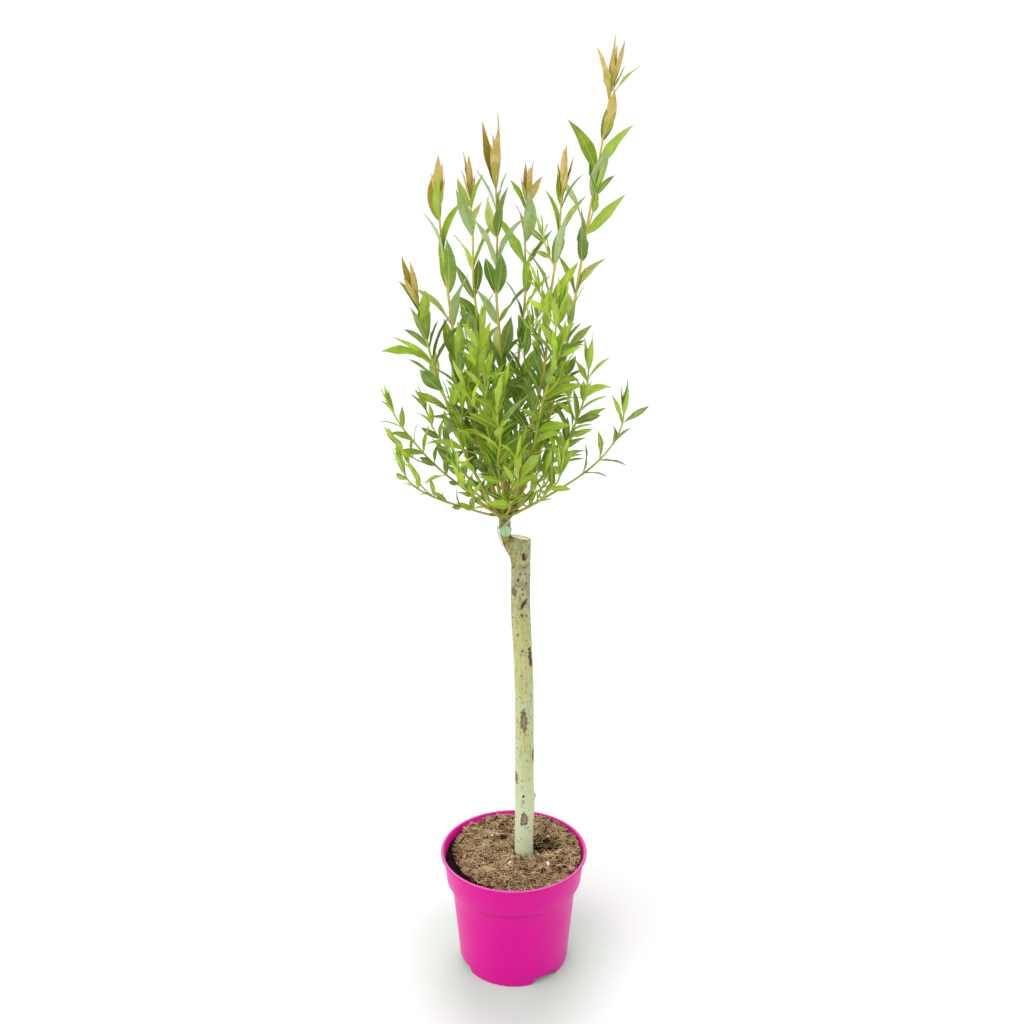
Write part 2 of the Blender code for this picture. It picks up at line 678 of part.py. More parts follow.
def tip_leaves(space, owner, prefix, path, dress, chance):
    """The upright young leaves at the end of a stem, a golden angle apart."""
    leaves = []
    marks = [f"{prefix} tip {index}" for index in range(dress.tips)]
    for index, mark in enumerate(marks):
        distance = path.length - TIP_NODE_GAP * (index + 1)
        around = dress.bearing + index * GOLDEN_ANGLE
        opening = TIP_OPENING + TIP_OPENING_STEP * index + chance.uniform(-1.5, 1.5)
        length = dress.tip_leaf * (1 - TIP_LEAF_FALL * index) * chance.uniform(0.92, 1.06)
        aim = (distance, around, opening, chance.uniform(-20, 20), length, TIP_LEAF_WIDTH, 0.01)
        leaves += try_leaf(space, owner, mark, marks, path, aim)
    return leaves


def clothe(space, owner, prefix, path, leafy, dress):
    """Leaves of one stem and the places of their nodes: its tip, then pairs, each a quarter turn on."""
    chance = random.Random(f"{owner} {prefix}")
    leaves = tip_leaves(space, owner, prefix, path, dress, chance)
    nodes = []
    distance = path.length - dress.tip_leaf * FIRST_NODE_SHARE
    while distance > path.length - leafy:
        number = len(nodes)
        nodes.append(distance)
        age = min(1.0, (number + 1) / GROWN_NODES)
        lower = (path.length - distance) / leafy
        opening = dress.spread * (0.55 + 0.45 * age) * (1 + LOWER_SPREAD * lower)
        pair = [f"{prefix} {number} {side}" for side in (0, 1)]
        for side, mark in enumerate(pair):
            slip = chance.uniform(0, PAIR_SLIP) * dress.spacing * side
            around = dress.bearing + 90 * number + 180 * side + chance.uniform(-16, 16)
            grown = (0.72 + 0.28 * age) * (1 - LOWER_FALL * lower ** 2)
            length = dress.leaf * grown * chance.uniform(0.84, 1.1)
            aim = (distance - slip, around, opening * chance.uniform(0.75, 1.25), chance.uniform(-62, 62),
                   length, LEAF_WIDTH, chance.uniform(0.0, LEAF_ARCH))
            leaves += try_leaf(space, owner, mark, pair, path, aim)
        distance -= dress.spacing * chance.uniform(0.88, 1.12)
    return leaves, nodes


def ring_places(path, marks):
    """Distances for rings along a stem: the marks, and more where the path bends."""
    places = [marks[0]]
    for low, high in zip(marks, marks[1:]):
        middle = path.at((low + high) / 2)[0]
        bend = (middle - (path.at(low)[0] + path.at(high)[0]) / 2).length
        steps = 1 + int((bend / STEM_SLACK) ** 0.5)
        places += [low + (high - low) * (step + 1) / steps for step in range(steps)]
    return places


def stem_rings(path, start, nodes, foot_girth, tip_girth):
    """Stations and radii of a stem from a start, with rings midway between leaf nodes and at its end."""
    marks = [start] + sorted(nodes) + [path.length]
    middles = [(low + high) / 2 for low, high in zip(marks, marks[1:])]
    marks = [start] + [mark for mark in middles if start + RING_GAP < mark < path.length - RING_GAP]
    distances = ring_places(path, marks + [path.length])
    radii = [stem_radius(distance / path.length, foot_girth, tip_girth) * THREE_SIDED
             for distance in distances]
    return [path.at(distance) for distance in distances], radii


def stem_radius(share, foot_girth, tip_girth):
    """Radius of a stem at a share of its length: it tapers a little faster near its foot."""
    return foot_girth + (tip_girth - foot_girth) * share ** 0.8


def side_twig(path, distance, around, length):
    """The centre line of a twig that leaves a stem at an angle and turns up towards the light."""
    point, tangent = path.at(distance)
    opening = math.radians(TWIG_OPENING)
    heading = tangent * math.cos(opening) + outward(tangent, around) * math.sin(opening)
    points = [point]
    for _ in range(TWIG_SAMPLES):
        heading = (heading + Vector((0, 0, TWIG_LIFT))).normalized()
        points.append(points[-1] + heading * length / TWIG_SAMPLES)
    return Path(points)


def grow_twigs(space, owner, shoot, path, nodes):
    """Side twigs from every third node of a shoot, kept within its reach and off what stands."""
    pieces = []
    leaves = []
    chance = random.Random(owner + " twigs")
    widest = Vector(shoot.end).xy.length
    for index, distance in enumerate(nodes[-3 * shoot.twigs::3][:shoot.twigs]):
        length = chance.uniform(*TWIG_LENGTHS)
        around = shoot.bearing + chance.uniform(0, 360)
        twig = side_twig(path, distance, around, length)
        body = limb([twig.at(length * step / 3) for step in range(1, 4)], [TWIG_RADIUS] * 3, 4)
        fits = twig.points[-1].xy.length < widest and space.limb_fits(owner, body)
        if fits:
            space.add_limb(owner, body)
            dress = Dress(TWIG_LEAF, TWIG_SPACING, TWIG_SPREAD, around + 60, 3, TWIG_TIP_LEAF)
            twig_leaves, knots = clothe(space, owner, f"twig {index}", twig, length - TWIG_BARE, dress)
            stations, radii = stem_rings(twig, 0.0, knots, TWIG_RADIUS, STEM_TIP_RADIUS)
            pieces.append(limb(stations, radii, 3))
            leaves += twig_leaves
        body.free()
    return pieces, leaves


def union(name, pieces, mat):
    """One closed body from overlapping pieces, by one Boolean on their collection."""
    first = place(name, pieces[0], mat)
    others = bpy.data.collections.new(name + "_pieces")
    bpy.context.scene.collection.children.link(others)
    for index, piece in enumerate(pieces[1:]):
        mesh = bpy.data.meshes.new(f"{name}_{index}")
        piece.to_mesh(mesh)
        piece.free()
        others.objects.link(bpy.data.objects.new(mesh.name, mesh))
    join = first.modifiers.new("join", "BOOLEAN")
    join.operand_type = "COLLECTION"
    join.collection = others
    join.operation = "UNION"
    join.solver = "EXACT"
    settle(first)
    for piece in list(others.objects):
        bpy.data.objects.remove(piece)
    bpy.data.collections.remove(others)
    return first


def make_bough(space, shoot, path, bark):
    """The bare lower length of a shoot, as a limb of its own."""
    steps = max(2, round(shoot.bare / BOUGH_STEP))
    distances = [shoot.bare * step / steps for step in range(steps + 1)]
    radii = [stem_radius(distance / path.length, shoot.girth, STEM_TIP_RADIUS) * BOUGH_SIDES_ROOM
             for distance in distances]
    bm = limb([path.at(distance) for distance in distances], radii, BOUGH_SIDES)
    space.add_limb("bough_" + shoot.name, bm)
    place("bough_" + shoot.name, bm, bark, smooth_under=50)


def reserve_stem(space, shoot, path, start):
    """Keeps the room of a leafy stem before any leaf is placed."""
    distances = [start + (path.length - start) * step / STEM_RESERVE for step in range(STEM_RESERVE + 1)]
    radii = [stem_radius(distance / path.length, shoot.girth, STEM_TIP_RADIUS) * THREE_SIDED
             for distance in distances]
    spine = limb([path.at(distance) for distance in distances], radii, 5)
    space.add_limb("foliage_" + shoot.name, spine)
    spine.free()


def make_mass(space, shoot, path, start, foliage):
    """The leafy mass of a shoot: its stem, its twigs and their leaves, joined in one body."""
    owner = "foliage_" + shoot.name
    leafy = path.length - max(start, shoot.bare) - LEAFLESS_FOOT
    dress = Dress(shoot.leaf, shoot.spacing, shoot.spread, shoot.bearing, shoot.tips, shoot.tip_leaf)
    leaves, nodes = clothe(space, owner, "stem", path, leafy, dress)
    twigs, twig_leaves = grow_twigs(space, owner, shoot, path, nodes)
    stations, radii = stem_rings(path, start, nodes, shoot.girth, STEM_TIP_RADIUS)
    blades = [leaf_solid(leaf) for leaf in leaves + twig_leaves]
    union(owner, [limb(stations, radii, 3)] + twigs + blades, foliage)
    return len(blades)


def make_shoots(bark, foliage):
    """Every bough and every leafy mass of the head."""
    space = Space()
    plans = []
    for shoot, direction in zip(SHOOTS, foot_directions()):
        path = stem_path(shoot, direction)
        start = 0.0
        if shoot.bare > SHORTEST_BOUGH:
            make_bough(space, shoot, path, bark)
            start = shoot.bare + GAP
        plans.append((shoot, path, start))
    for shoot, path, start in plans:
        reserve_stem(space, shoot, path, start)
    total = sum(make_mass(space, shoot, path, start, foliage) for shoot, path, start in plans)
    print(total, "leaves")


def main():
    """Builds the whole plant."""
    clear_scene()
    magenta = plain_material("pot_plastic", (0.80, 0.02, 0.33), 0.36)
    mix = plain_material("potting_mix", (0.16, 0.10, 0.06), 0.95)
    pale_bark = plain_material("trunk_bark", (0.52, 0.56, 0.33), 0.70)
    green_bark = plain_material("shoot_bark", (0.36, 0.33, 0.10), 0.55)
    leaf_green = plain_material("leaves", (0.15, 0.32, 0.06), 0.50)
    mint = plain_material("tie_plastic", (0.55, 0.75, 0.45), 0.35)
    make_pot(magenta)
    make_mix(mix)
    make_trunk(pale_bark)
    make_head(green_bark)
    make_tie(mint)
    make_shoots(green_bark, leaf_green)


main()
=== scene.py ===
"""The looks of a young willow grown as a standard: pale bark, narrow leaves and a magenta pot of coir.

Metres, +Z up, the viewer looking along +Y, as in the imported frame. Each class is one sub-assembly of
the plant. It builds its meshes, dresses them and seats them on the frame.
"""

import logging
import math
import random
from collections.abc import Callable, Sequence
from dataclasses import dataclass, field, replace
from enum import Enum

import bmesh
import bpy
import numpy as np
from mathutils import Matrix, Vector, noise
from mathutils.bvhtree import BVHTree


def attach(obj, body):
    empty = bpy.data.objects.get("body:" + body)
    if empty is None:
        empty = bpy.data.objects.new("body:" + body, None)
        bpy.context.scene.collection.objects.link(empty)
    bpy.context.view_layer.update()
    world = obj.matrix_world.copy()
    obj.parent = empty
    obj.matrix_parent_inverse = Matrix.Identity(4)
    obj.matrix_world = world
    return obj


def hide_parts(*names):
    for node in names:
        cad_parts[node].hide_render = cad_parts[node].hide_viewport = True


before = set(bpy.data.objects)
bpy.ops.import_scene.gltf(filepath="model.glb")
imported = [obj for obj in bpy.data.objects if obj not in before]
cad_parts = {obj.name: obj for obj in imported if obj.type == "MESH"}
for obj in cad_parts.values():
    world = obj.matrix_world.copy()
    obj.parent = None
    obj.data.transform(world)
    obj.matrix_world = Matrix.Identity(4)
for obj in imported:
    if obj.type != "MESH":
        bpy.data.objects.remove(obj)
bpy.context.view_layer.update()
BODY = "root"
GAP = 0.0003

log = logging.getLogger("willow")

Colour = tuple[float, float, float, float]
Socket = bpy.types.NodeSocket
Material = bpy.types.Material
Shape = bmesh.types.BMesh


def paint(red: int, green: int, blue: int) -> Colour:
    """Turns a display colour into the linear colour that a shader takes.

    Args:
        red: The red channel, 0 to 255.
        green: The green channel, 0 to 255.
        blue: The blue channel, 0 to 255.

    Returns:
        The linear colour, with an alpha of one.
    """
    def linear(channel: int) -> float:
        share = channel / 255
        return share / 12.92 if share <= 0.04045 else ((share + 0.055) / 1.055) ** 2.4

    return (linear(red), linear(green), linear(blue), 1.0)


def degrees_between(first: float, second: float) -> float:
    """The turn from the second of two bearings to the first, from -180 to 180."""
    return (first - second + 180) % 360 - 180


def bell(away: float) -> float:
    """A smooth bump: 1 in the middle, and next to nothing from 2 away."""
    return math.exp(-away ** 2)


def operator(operation: str, swapped: bool = False) -> Callable[..., "Value"]:
    """Makes an operator of Value.

    Args:
        operation: What its Math node does.
        swapped: Whether the other number comes first.

    Returns:
        The method, which adds one node and gives its result.
    """
    def method(value: "Value", other: "Value | float" = 0.0) -> "Value":
        """Adds one Math node.

        Args:
            value: The number.
            other: The other number, where it takes one.

        Returns:
            The result.
        """
        first, second = (other, value) if swapped else (value, other)
        made = value.recipe.node("ShaderNodeMath", {"operation": operation}, {0: first, 1: second})
        return Value(value.recipe, made.outputs[0])

    return method


class Value:
    """A number in a material's nodes. Arithmetic on it adds Math nodes."""

    __add__ = __radd__ = operator("ADD")
    __sub__ = operator("SUBTRACT")
    __rsub__ = operator("SUBTRACT", swapped=True)
    __mul__ = __rmul__ = operator("MULTIPLY")
    __pow__ = operator("POWER")
    __abs__ = operator("ABSOLUTE")
    fraction = operator("FRACT")
    most = operator("MAXIMUM")

    def __init__(self, recipe: "Nodes", socket: Socket) -> None:
        """Wraps an output socket of a recipe's node."""
        self.recipe = recipe
        self.socket = socket

    def step(self, low: float, high: float) -> "Value":
        """Eases from 0 to 1 as this goes from a low to a high, which may be the lesser.

        Args:
            low: Where it gives 0.
            high: Where it gives 1.

        Returns:
            The eased value.
        """
        settings = {"interpolation_type": "SMOOTHSTEP"}
        made = self.recipe.node("ShaderNodeMapRange", settings, {0: self, 1: low, 2: high})
        return Value(self.recipe, made.outputs[0])


class Nodes:
    """A node tree that is built up by code."""

    def __init__(self, tree: bpy.types.NodeTree) -> None:
        """Starts with an empty tree."""
        self.tree = tree
        self.tree.nodes.clear()

    def node(self, kind: str, settings: dict[str, object], inputs: dict[int | str, object]) -> bpy.types.Node:
        """Adds a node.

        Args:
            kind: The node's type.
            settings: Its properties, which are set first.
            inputs: A value or a link for each of its sockets, by index or name.

        Returns:
            The node.
        """
        made = self.tree.nodes.new(kind)
        for name, value in settings.items():
            setattr(made, name, value)
        for key, value in inputs.items():
            self.plug(made.inputs[key], value)
        return made

    def plug(self, socket: Socket, value: object) -> None:
        """Links a socket to a value's node, or sets it to a plain value.

        Args:
            socket: The input socket.
            value: A Value or a socket to link, or a plain value to set.
        """
        if isinstance(value, Value):
            value = value.socket
        if isinstance(value, Socket):
            self.tree.links.new(value, socket)
        else:
            socket.default_value = value

    def axes(self, source: object) -> tuple[Value, Value, Value]:
        """Some coordinates, one number for each axis."""
        made = self.node("ShaderNodeSeparateXYZ", {}, {0: source})
        return tuple(Value(self, output) for output in made.outputs)


class Recipe(Nodes):
    """The nodes of one material round a Principled shader, and the colour that its coats build up."""

    def __init__(self, name: str) -> None:
        """Starts a material with its shader, its output and its own coordinates.

        Args:
            name: The material's name.
        """
        self.material = bpy.data.materials.new(name)
        self.material.use_nodes = True
        super().__init__(self.material.node_tree)
        self.shader = self.node("ShaderNodeBsdfPrincipled", {}, {})
        self.node("ShaderNodeOutputMaterial", {}, {"Surface": self.shader.outputs[0]})
        self.coordinates = self.node("ShaderNodeTexCoord", {}, {}).outputs["Object"]
        self.colour: object = None

    def place(self, stretch: Sequence[float]) -> Socket:
        """The coordinates, stretched along each axis."""
        inputs = {"Vector": self.coordinates, "Scale": stretch}
        return self.node("ShaderNodeMapping", {}, inputs).outputs[0]

    def noise(self, scale: float, detail: float, stretch: Sequence[float] = (1, 1, 1)) -> Value:
        """Soft random patches.

        Args:
            scale: How many patches there are to the metre.
            detail: How many finer layers are added.
            stretch: The coordinates' scale along each axis.

        Returns:
            A value that varies about 0.5.
        """
        inputs = {"Vector": self.place(stretch), "Scale": scale, "Detail": detail}
        return Value(self, self.node("ShaderNodeTexNoise", {}, inputs).outputs[0])

    def dots(self, scale: float, vary: float, edge: float, core: float,
             stretch: Sequence[float] = (1, 1, 1)) -> Value:
        """Scattered dots.

        Args:
            scale: How many there are to the metre.
            vary: How much their sizes differ.
            edge: The distance from a small dot's middle where it ends.
            core: The distance within which it is whole.
            stretch: The coordinates' scale along each axis.

        Returns:
            A value of 1 in a dot and 0 outside it.
        """
        made = self.node("ShaderNodeTexVoronoi", {}, {"Vector": self.place(stretch), "Scale": scale})
        parts = self.node("ShaderNodeSeparateColor", {}, {0: made.outputs["Color"]})
        away = Value(self, made.outputs["Distance"]) - Value(self, parts.outputs[0]) * vary
        return away.step(edge, core)

    def own_map(self, name: str) -> Socket:
        """The coordinates of the piece's own map."""
        return self.node("ShaderNodeUVMap", {"uv_map": name}, {}).outputs[0]

    def mix(self, share: Value | float, first: object, second: object) -> Socket:
        """A colour between two others."""
        return self.node("ShaderNodeMix", {"data_type": "RGBA"}, {0: share, 6: first, 7: second}).outputs[2]

    def coat(self, share: Value | float, colour: object) -> None:
        """Lays a colour over the coats before it."""
        self.colour = self.mix(share, self.colour, colour)

    def relief(self, height: Value, distance: float, strength: float = 1.0) -> None:
        """Gives the surface small bumps.

        Args:
            height: The height of the surface, 0 to 1.
            distance: How far a height of 1 stands out, in metres.
            strength: How much of the bump shows.
        """
        inputs = {"Height": height, "Distance": distance, "Strength": strength}
        self.plug(self.shader.inputs["Normal"], self.node("ShaderNodeBump", {}, inputs).outputs[0])

    def finish(self, roughness: Value | float, **plain: float) -> Material:
        """Sets the shader to the coats' colour.

        Args:
            roughness: The roughness.
            plain: Other sockets' plain values, by name with _ for a space.

        Returns:
            The material.
        """
        self.plug(self.shader.inputs["Base Color"], self.colour)
        self.plug(self.shader.inputs["Roughness"], roughness)
        for name, value in plain.items():
            self.shader.inputs[name.replace("_", " ")].default_value = value
        return self.material


@dataclass(frozen=True)
class PotPlastic:
    """Satin moulded plastic, evenly dyed, a little cloudy and scuffed, with painted shade under the collar, a
    painted lip highlight and painted light on the inner wall.
    """

    dye: Colour = paint(206, 0, 138)
    cloud: Colour = paint(212, 0, 144)
    scuff: Colour = paint(238, 120, 196)
    # Painted shade for the band under the collar's step
    shade: Colour = paint(150, 0, 92)
    # Painted highlight for the top of the lip
    painted_lip_highlight: Colour = paint(255, 140, 214)
    # Painted light for the inner wall above the mix
    painted_inner_light: Colour = paint(246, 14, 160)
    crease: float = 0.1072
    lip: float = 0.1459
    taper: float = 0.121
    inner_line: float = 0.0727

    def build(self) -> Material:
        """The pot's material.

        Returns:
            The material.
        """
        recipe = Recipe("pot_plastic")
        clouds = recipe.noise(9, 2)
        grain = recipe.noise(900, 3)
        scratches = recipe.noise(150, 4, (0.35, 0.35, 4.0)).step(0.70, 0.76)
        recipe.colour = recipe.mix(clouds.step(0.35, 0.7), self.dye, self.cloud)
        recipe.coat(scratches * 0.16, self.scuff)
        wide, deep, height = recipe.axes(recipe.coordinates)
        radius = (wide ** 2.0 + deep ** 2.0) ** 0.5
        # Painted light: the inner wall above the mix is made brighter, standing in for the light that falls
        # on it
        inside = (radius - height * self.taper).step(self.inner_line + 0.0005, self.inner_line + 0.0002)
        recipe.coat(inside * height.step(0.120, 0.130), self.painted_inner_light)
        # Painted shade: a darker band just under the collar's step, at the height crease, where the overhang
        # shades the body
        below, above = self.crease - 0.0085, self.crease + 0.0012
        recipe.coat(height.step(below, self.crease) * height.step(above, self.crease) * 0.5, self.shade)
        # Painted highlight: a brighter line along the top of the lip
        recipe.coat(height.step(self.lip, self.lip + 0.0008) * 0.45, self.painted_lip_highlight)
        recipe.relief(grain * 0.6 + clouds * 0.4, 0.00012, 0.35)
        return recipe.finish(0.32 + grain * 0.10 + scratches * 0.15, Specular_IOR_Level=0.16,
                             Sheen_Weight=0.18, Sheen_Roughness=0.35, Sheen_Tint=paint(255, 196, 248))


@dataclass(frozen=True)
class Crumbs:
    """Dark damp crumbs of the potting mix under its fibres."""

    dark: Colour = paint(16, 11, 8)
    middle: Colour = paint(62, 44, 29)
    pale: Colour = paint(132, 104, 74)

    def build(self) -> Material:
        """The mix's material.

        Returns:
            The material.
        """
        recipe = Recipe("mix_crumbs")
        lumps = recipe.noise(110, 4)
        strands = recipe.noise(420, 3, (1, 0.35, 1))
        recipe.colour = recipe.mix(lumps.step(0.36, 0.62), self.dark, self.middle)
        recipe.coat(strands.step(0.52, 0.72) * 0.8, self.pale)
        recipe.relief(lumps * 0.5 + strands * 0.5, 0.0025)
        return recipe.finish(0.94, Specular_IOR_Level=0.12)


@dataclass(frozen=True)
class Fibre:
    """Dry coir, straw, wood or soil in one shade."""

    name: str
    dark: Colour
    pale: Colour

    def build(self) -> Material:
        """The fibre's material.

        Returns:
            The material.
        """
        recipe = Recipe(self.name)
        patches = recipe.noise(260, 3)
        recipe.relief(recipe.noise(2200, 2), 0.0001, 0.5)
        recipe.colour = recipe.mix(patches.step(0.35, 0.65), self.dark, self.pale)
        return recipe.finish(0.85, Specular_IOR_Level=0.12)


@dataclass(frozen=True)
class Scar:
    """A healed wound or knot on the trunk: where it is, how big, and how dark and deep."""

    bearing: float
    height: float
    half_wide: float
    half_tall: float
    tilt: float = 0.0
    dark: float = 1.0
    depth: float = 0.0006
    heart: float = 0.5


SCARS = (
    Scar(15.0, 0.5357, 0.0026, 0.0041, dark=1.4, heart=0.0),
    Scar(-43.0, 0.4908, 0.0050, 0.0040, tilt=-14.0, dark=0.8, heart=0.25),
    Scar(16.0, 0.4757, 0.0021, 0.0066, tilt=34.0, dark=1.2, heart=0.0),
    Scar(8.0, 0.4622, 0.0016, 0.0022, dark=0.8, heart=0.0),
    Scar(50.0, 0.4070, 0.0028, 0.0125, tilt=-6.0, dark=1.2, heart=0.1),
    Scar(-4.5, 0.3242, 0.0038, 0.0150, tilt=-3.0, dark=0.9, heart=0.7),
    Scar(64.0, 0.2764, 0.0024, 0.0085, dark=1.2, heart=0.1),
    Scar(-60.0, 0.2452, 0.0036, 0.0078, dark=0.9, heart=0.8),
    Scar(-5.6, 0.2222, 0.0014, 0.0024, tilt=20.0, dark=1.0, heart=0.0),
    Scar(-9.0, 0.2154, 0.0022, 0.0028, dark=0.6, depth=-0.0008, heart=1.0),
    Scar(92.0, 0.2178, 0.0026, 0.0036, dark=1.1, depth=-0.0016, heart=0.0),
    Scar(0.0, 0.1901, 0.0043, 0.0098, tilt=4.0, dark=0.9, heart=0.9),
    Scar(24.0, 0.1785, 0.0024, 0.0008, tilt=-12.0, dark=0.9, heart=0.0),
    Scar(150.0, 0.4560, 0.0034, 0.0110, tilt=5.0, dark=1.0, heart=0.6),
    Scar(-150.0, 0.3700, 0.0030, 0.0085, tilt=-8.0, dark=0.9, heart=0.6),
    Scar(178.0, 0.2630, 0.0040, 0.0120, dark=0.9, heart=0.8),
    Scar(-120.0, 0.5200, 0.0018, 0.0026, dark=1.2, heart=0.0),
)


@dataclass(frozen=True)
class PaleBark:
    """The trunk's smooth young bark: pale yellow green, with blue green clouds, dark pores and scars."""

    straw: Colour = paint(182, 182, 116)
    mint: Colour = paint(182, 194, 154)
    olive: Colour = paint(132, 116, 54)
    moss: Colour = paint(124, 138, 92)
    dew: Colour = paint(206, 220, 182)
    pore: Colour = paint(86, 54, 38)
    rim: Colour = paint(74, 56, 44)
    heart: Colour = paint(156, 134, 110)
    cork: Colour = paint(112, 78, 54)
    cut_height: float = 0.557
    pores_to_metre: float = 260.0
    mossy_spot: Scar = Scar(-6.0, 0.5485, 0.0040, 0.0070)

    def scar_mask(self, recipe: Recipe, scar: Scar, ragged: Value) -> tuple[Value, Value]:
        """How far inside a scar a point lies, 1 in the scar, and how near it is to the scar's heart.

        Args:
            recipe: The bark's recipe.
            scar: The scar.
            ragged: What makes its edge ragged.

        Returns:
            The mask of the whole scar, and that of its heart.
        """
        moved = recipe.node("ShaderNodeMapping", {"vector_type": "TEXTURE"}, {
            "Vector": recipe.coordinates, "Location": Trunk.surface_point(scar.bearing, scar.height),
            "Rotation": (0, math.radians(scar.tilt), math.radians(scar.bearing)),
            "Scale": (scar.half_wide, scar.half_wide * 3, scar.half_tall)}).outputs[0]
        size = recipe.node("ShaderNodeVectorMath", {"operation": "LENGTH"}, {0: moved}).outputs["Value"]
        reach = Value(recipe, size) + ragged
        return reach.step(1.12, 0.92), reach.step(0.86, 0.45)

    def build(self) -> Material:
        """The trunk's material.

        Returns:
            The material.
        """
        recipe = Recipe("pale_bark")
        side, _, height = recipe.axes(recipe.coordinates)
        high = height.step(0.40, 0.54)
        clouds = recipe.noise(34, 3, (1, 1, 0.5))
        streaks = recipe.noise(420, 3, (1, 1, 0.14))
        fine = recipe.noise(1300, 2)
        blots = recipe.noise(95, 4).step(0.46, 0.62)
        recipe.colour = recipe.mix(clouds.step(0.38, 0.64), self.straw, self.mint)
        recipe.coat(streaks.step(0.48, 0.76) * 0.6, self.olive)
        # Olive deepens towards the top: partly the bark's own olive, partly painted shade under the head
        recipe.coat(high * (0.48 + blots * 0.50), self.olive)
        recipe.coat(recipe.noise(70, 4).step(0.60, 0.72) * (0.2 + high * 0.6), self.moss)
        upright = (1, 1, 0.8)
        pores = recipe.dots(self.pores_to_metre, 0.16, 0.11, 0.05, upright)
        pores = pores + recipe.dots(self.pores_to_metre * 1.45, 0.2, 0.12, 0.05, upright) * (0.25 + high)
        recipe.coat(pores * 0.85, self.pore)
        recipe.coat(height.step(0.31, 0.17) * 0.82, self.dew)
        spots = recipe.dots(self.pores_to_metre * 0.72, 0.40, -0.02, -0.08, upright)
        spots = spots * (0.35 + height.step(0.32, 0.50) * 0.65)
        recipe.coat(spots * 0.95, self.pore)
        ragged = (recipe.noise(340, 4) - 0.5) * 2.2
        moss, _ = self.scar_mask(recipe, self.mossy_spot, ragged)
        recipe.coat(moss * 0.6, self.moss)
        wounds = high * 0.0
        woody = streaks.step(0.34, 0.58) * 0.6 + 0.4
        for scar in SCARS:
            inside, heart = self.scar_mask(recipe, scar, ragged)
            middle = recipe.mix(heart * scar.heart * woody, self.rim, self.heart)
            recipe.coat(inside * min(1.0, scar.dark), middle)
            wounds = wounds.most(inside)
        edge = (height + (streaks - 0.5) * 0.008).step(self.cut_height - 0.004, self.cut_height + 0.002)
        recipe.coat(edge * 0.6, self.cork)
        shoulder = (side + (blots + fine) * 0.0022).step(-0.0055, -0.0115) * height.step(0.528, 0.540)
        recipe.coat(shoulder * 0.8, self.cork)
        bumps = streaks * 0.35 + fine * 0.25 + pores * 0.3 + spots * 0.5 + wounds * (fine * 0.8)
        recipe.relief(bumps, 0.0006, 0.75)
        return recipe.finish(0.55 + wounds * 0.3)


@dataclass(frozen=True)
class SawnWood:
    """The cream end grain of the saw cut, with faint rings and weathering."""

    cream: Colour = paint(255, 252, 226)
    ring: Colour = paint(250, 232, 184)
    stain: Colour = paint(176, 140, 88)
    pith: tuple[float, float] = (0.0088, 0.0010)

    def build(self) -> Material:
        """The cut's material.

        Returns:
            The material.
        """
        recipe = Recipe("sawn_wood")
        wide, deep, _ = recipe.axes(recipe.coordinates)
        wobble = recipe.noise(220, 2)
        radius = ((wide - self.pith[0]) ** 2.0 + (deep - self.pith[1]) ** 2.0) ** 0.5
        rings = (radius * 620 + wobble * 1.6).fraction()
        marks = recipe.noise(900, 2, (0.25, 1, 1))
        recipe.colour = recipe.mix(rings.step(0.55, 0.95) * 0.5, self.cream, self.ring)
        recipe.coat(recipe.noise(240, 3).step(0.58, 0.75) * 0.35, self.stain)
        recipe.relief(marks * 0.6 + rings * 0.4, 0.0004, 0.7)
        return recipe.finish(0.8)


@dataclass(frozen=True)
class HeadBark:
    """The rough brown and olive bark of the stub and its knuckle, darker where it leaves the trunk, with
    painted shade in the crease there.
    """

    brown: Colour = paint(96, 70, 42)
    olive: Colour = paint(144, 144, 54)
    dark: Colour = paint(46, 31, 22)
    # pale is a dark brown: painted shade in the crease where the stub leaves the trunk
    pale: Colour = paint(74, 50, 34)
    collar_height: float = 0.549

    def build(self) -> Material:
        """The head's material.

        Returns:
            The material.
        """
        recipe = Recipe("head_bark")
        height = recipe.axes(recipe.coordinates)[2]
        patches = recipe.noise(190, 4)
        fine = recipe.noise(900, 3)
        recipe.colour = recipe.mix(patches.step(0.46, 0.66), self.olive, self.brown)
        recipe.coat(fine.step(0.56, 0.74) * 0.7, self.dark)
        # Painted shade: the bark darkens towards the crease where the stub leaves the trunk, under the tie
        # and the knuckle
        low = (height + (patches - 0.5) * 0.008).step(self.collar_height + 0.007, self.collar_height)
        recipe.coat(low * 0.9, self.pale)
        recipe.relief(patches * 0.5 + fine * 0.5, 0.0012)
        return recipe.finish(0.72)


@dataclass(frozen=True)
class ShootBark:
    """The thin satin bark of young shoots, from olive at the foot to ochre above."""

    name: str
    foot: Colour
    upper: Colour
    change_low: float = 0.62
    change_high: float = 0.86

    def build(self) -> Material:
        """The shoots' material.

        Returns:
            The material.
        """
        recipe = Recipe(self.name)
        height = recipe.axes(recipe.coordinates)[2]
        patches = recipe.noise(90, 3)
        streaks = recipe.noise(700, 2, (1, 1, 0.12))
        specks = recipe.dots(420, 0.1, 0.12, 0.05)
        rise = (height + (patches - 0.5) * 0.08).step(self.change_low, self.change_high)
        recipe.colour = recipe.mix(rise, self.foot, self.upper)
        shade = tuple(part * 0.62 for part in self.foot[:3]) + (1.0,)
        recipe.coat(streaks.step(0.50, 0.75) * 0.55, shade)
        recipe.coat(specks * 0.4, shade)
        recipe.relief(streaks * 0.7 + specks * 0.3, 0.0003, 0.7)
        return recipe.finish(0.46 + streaks * 0.15)


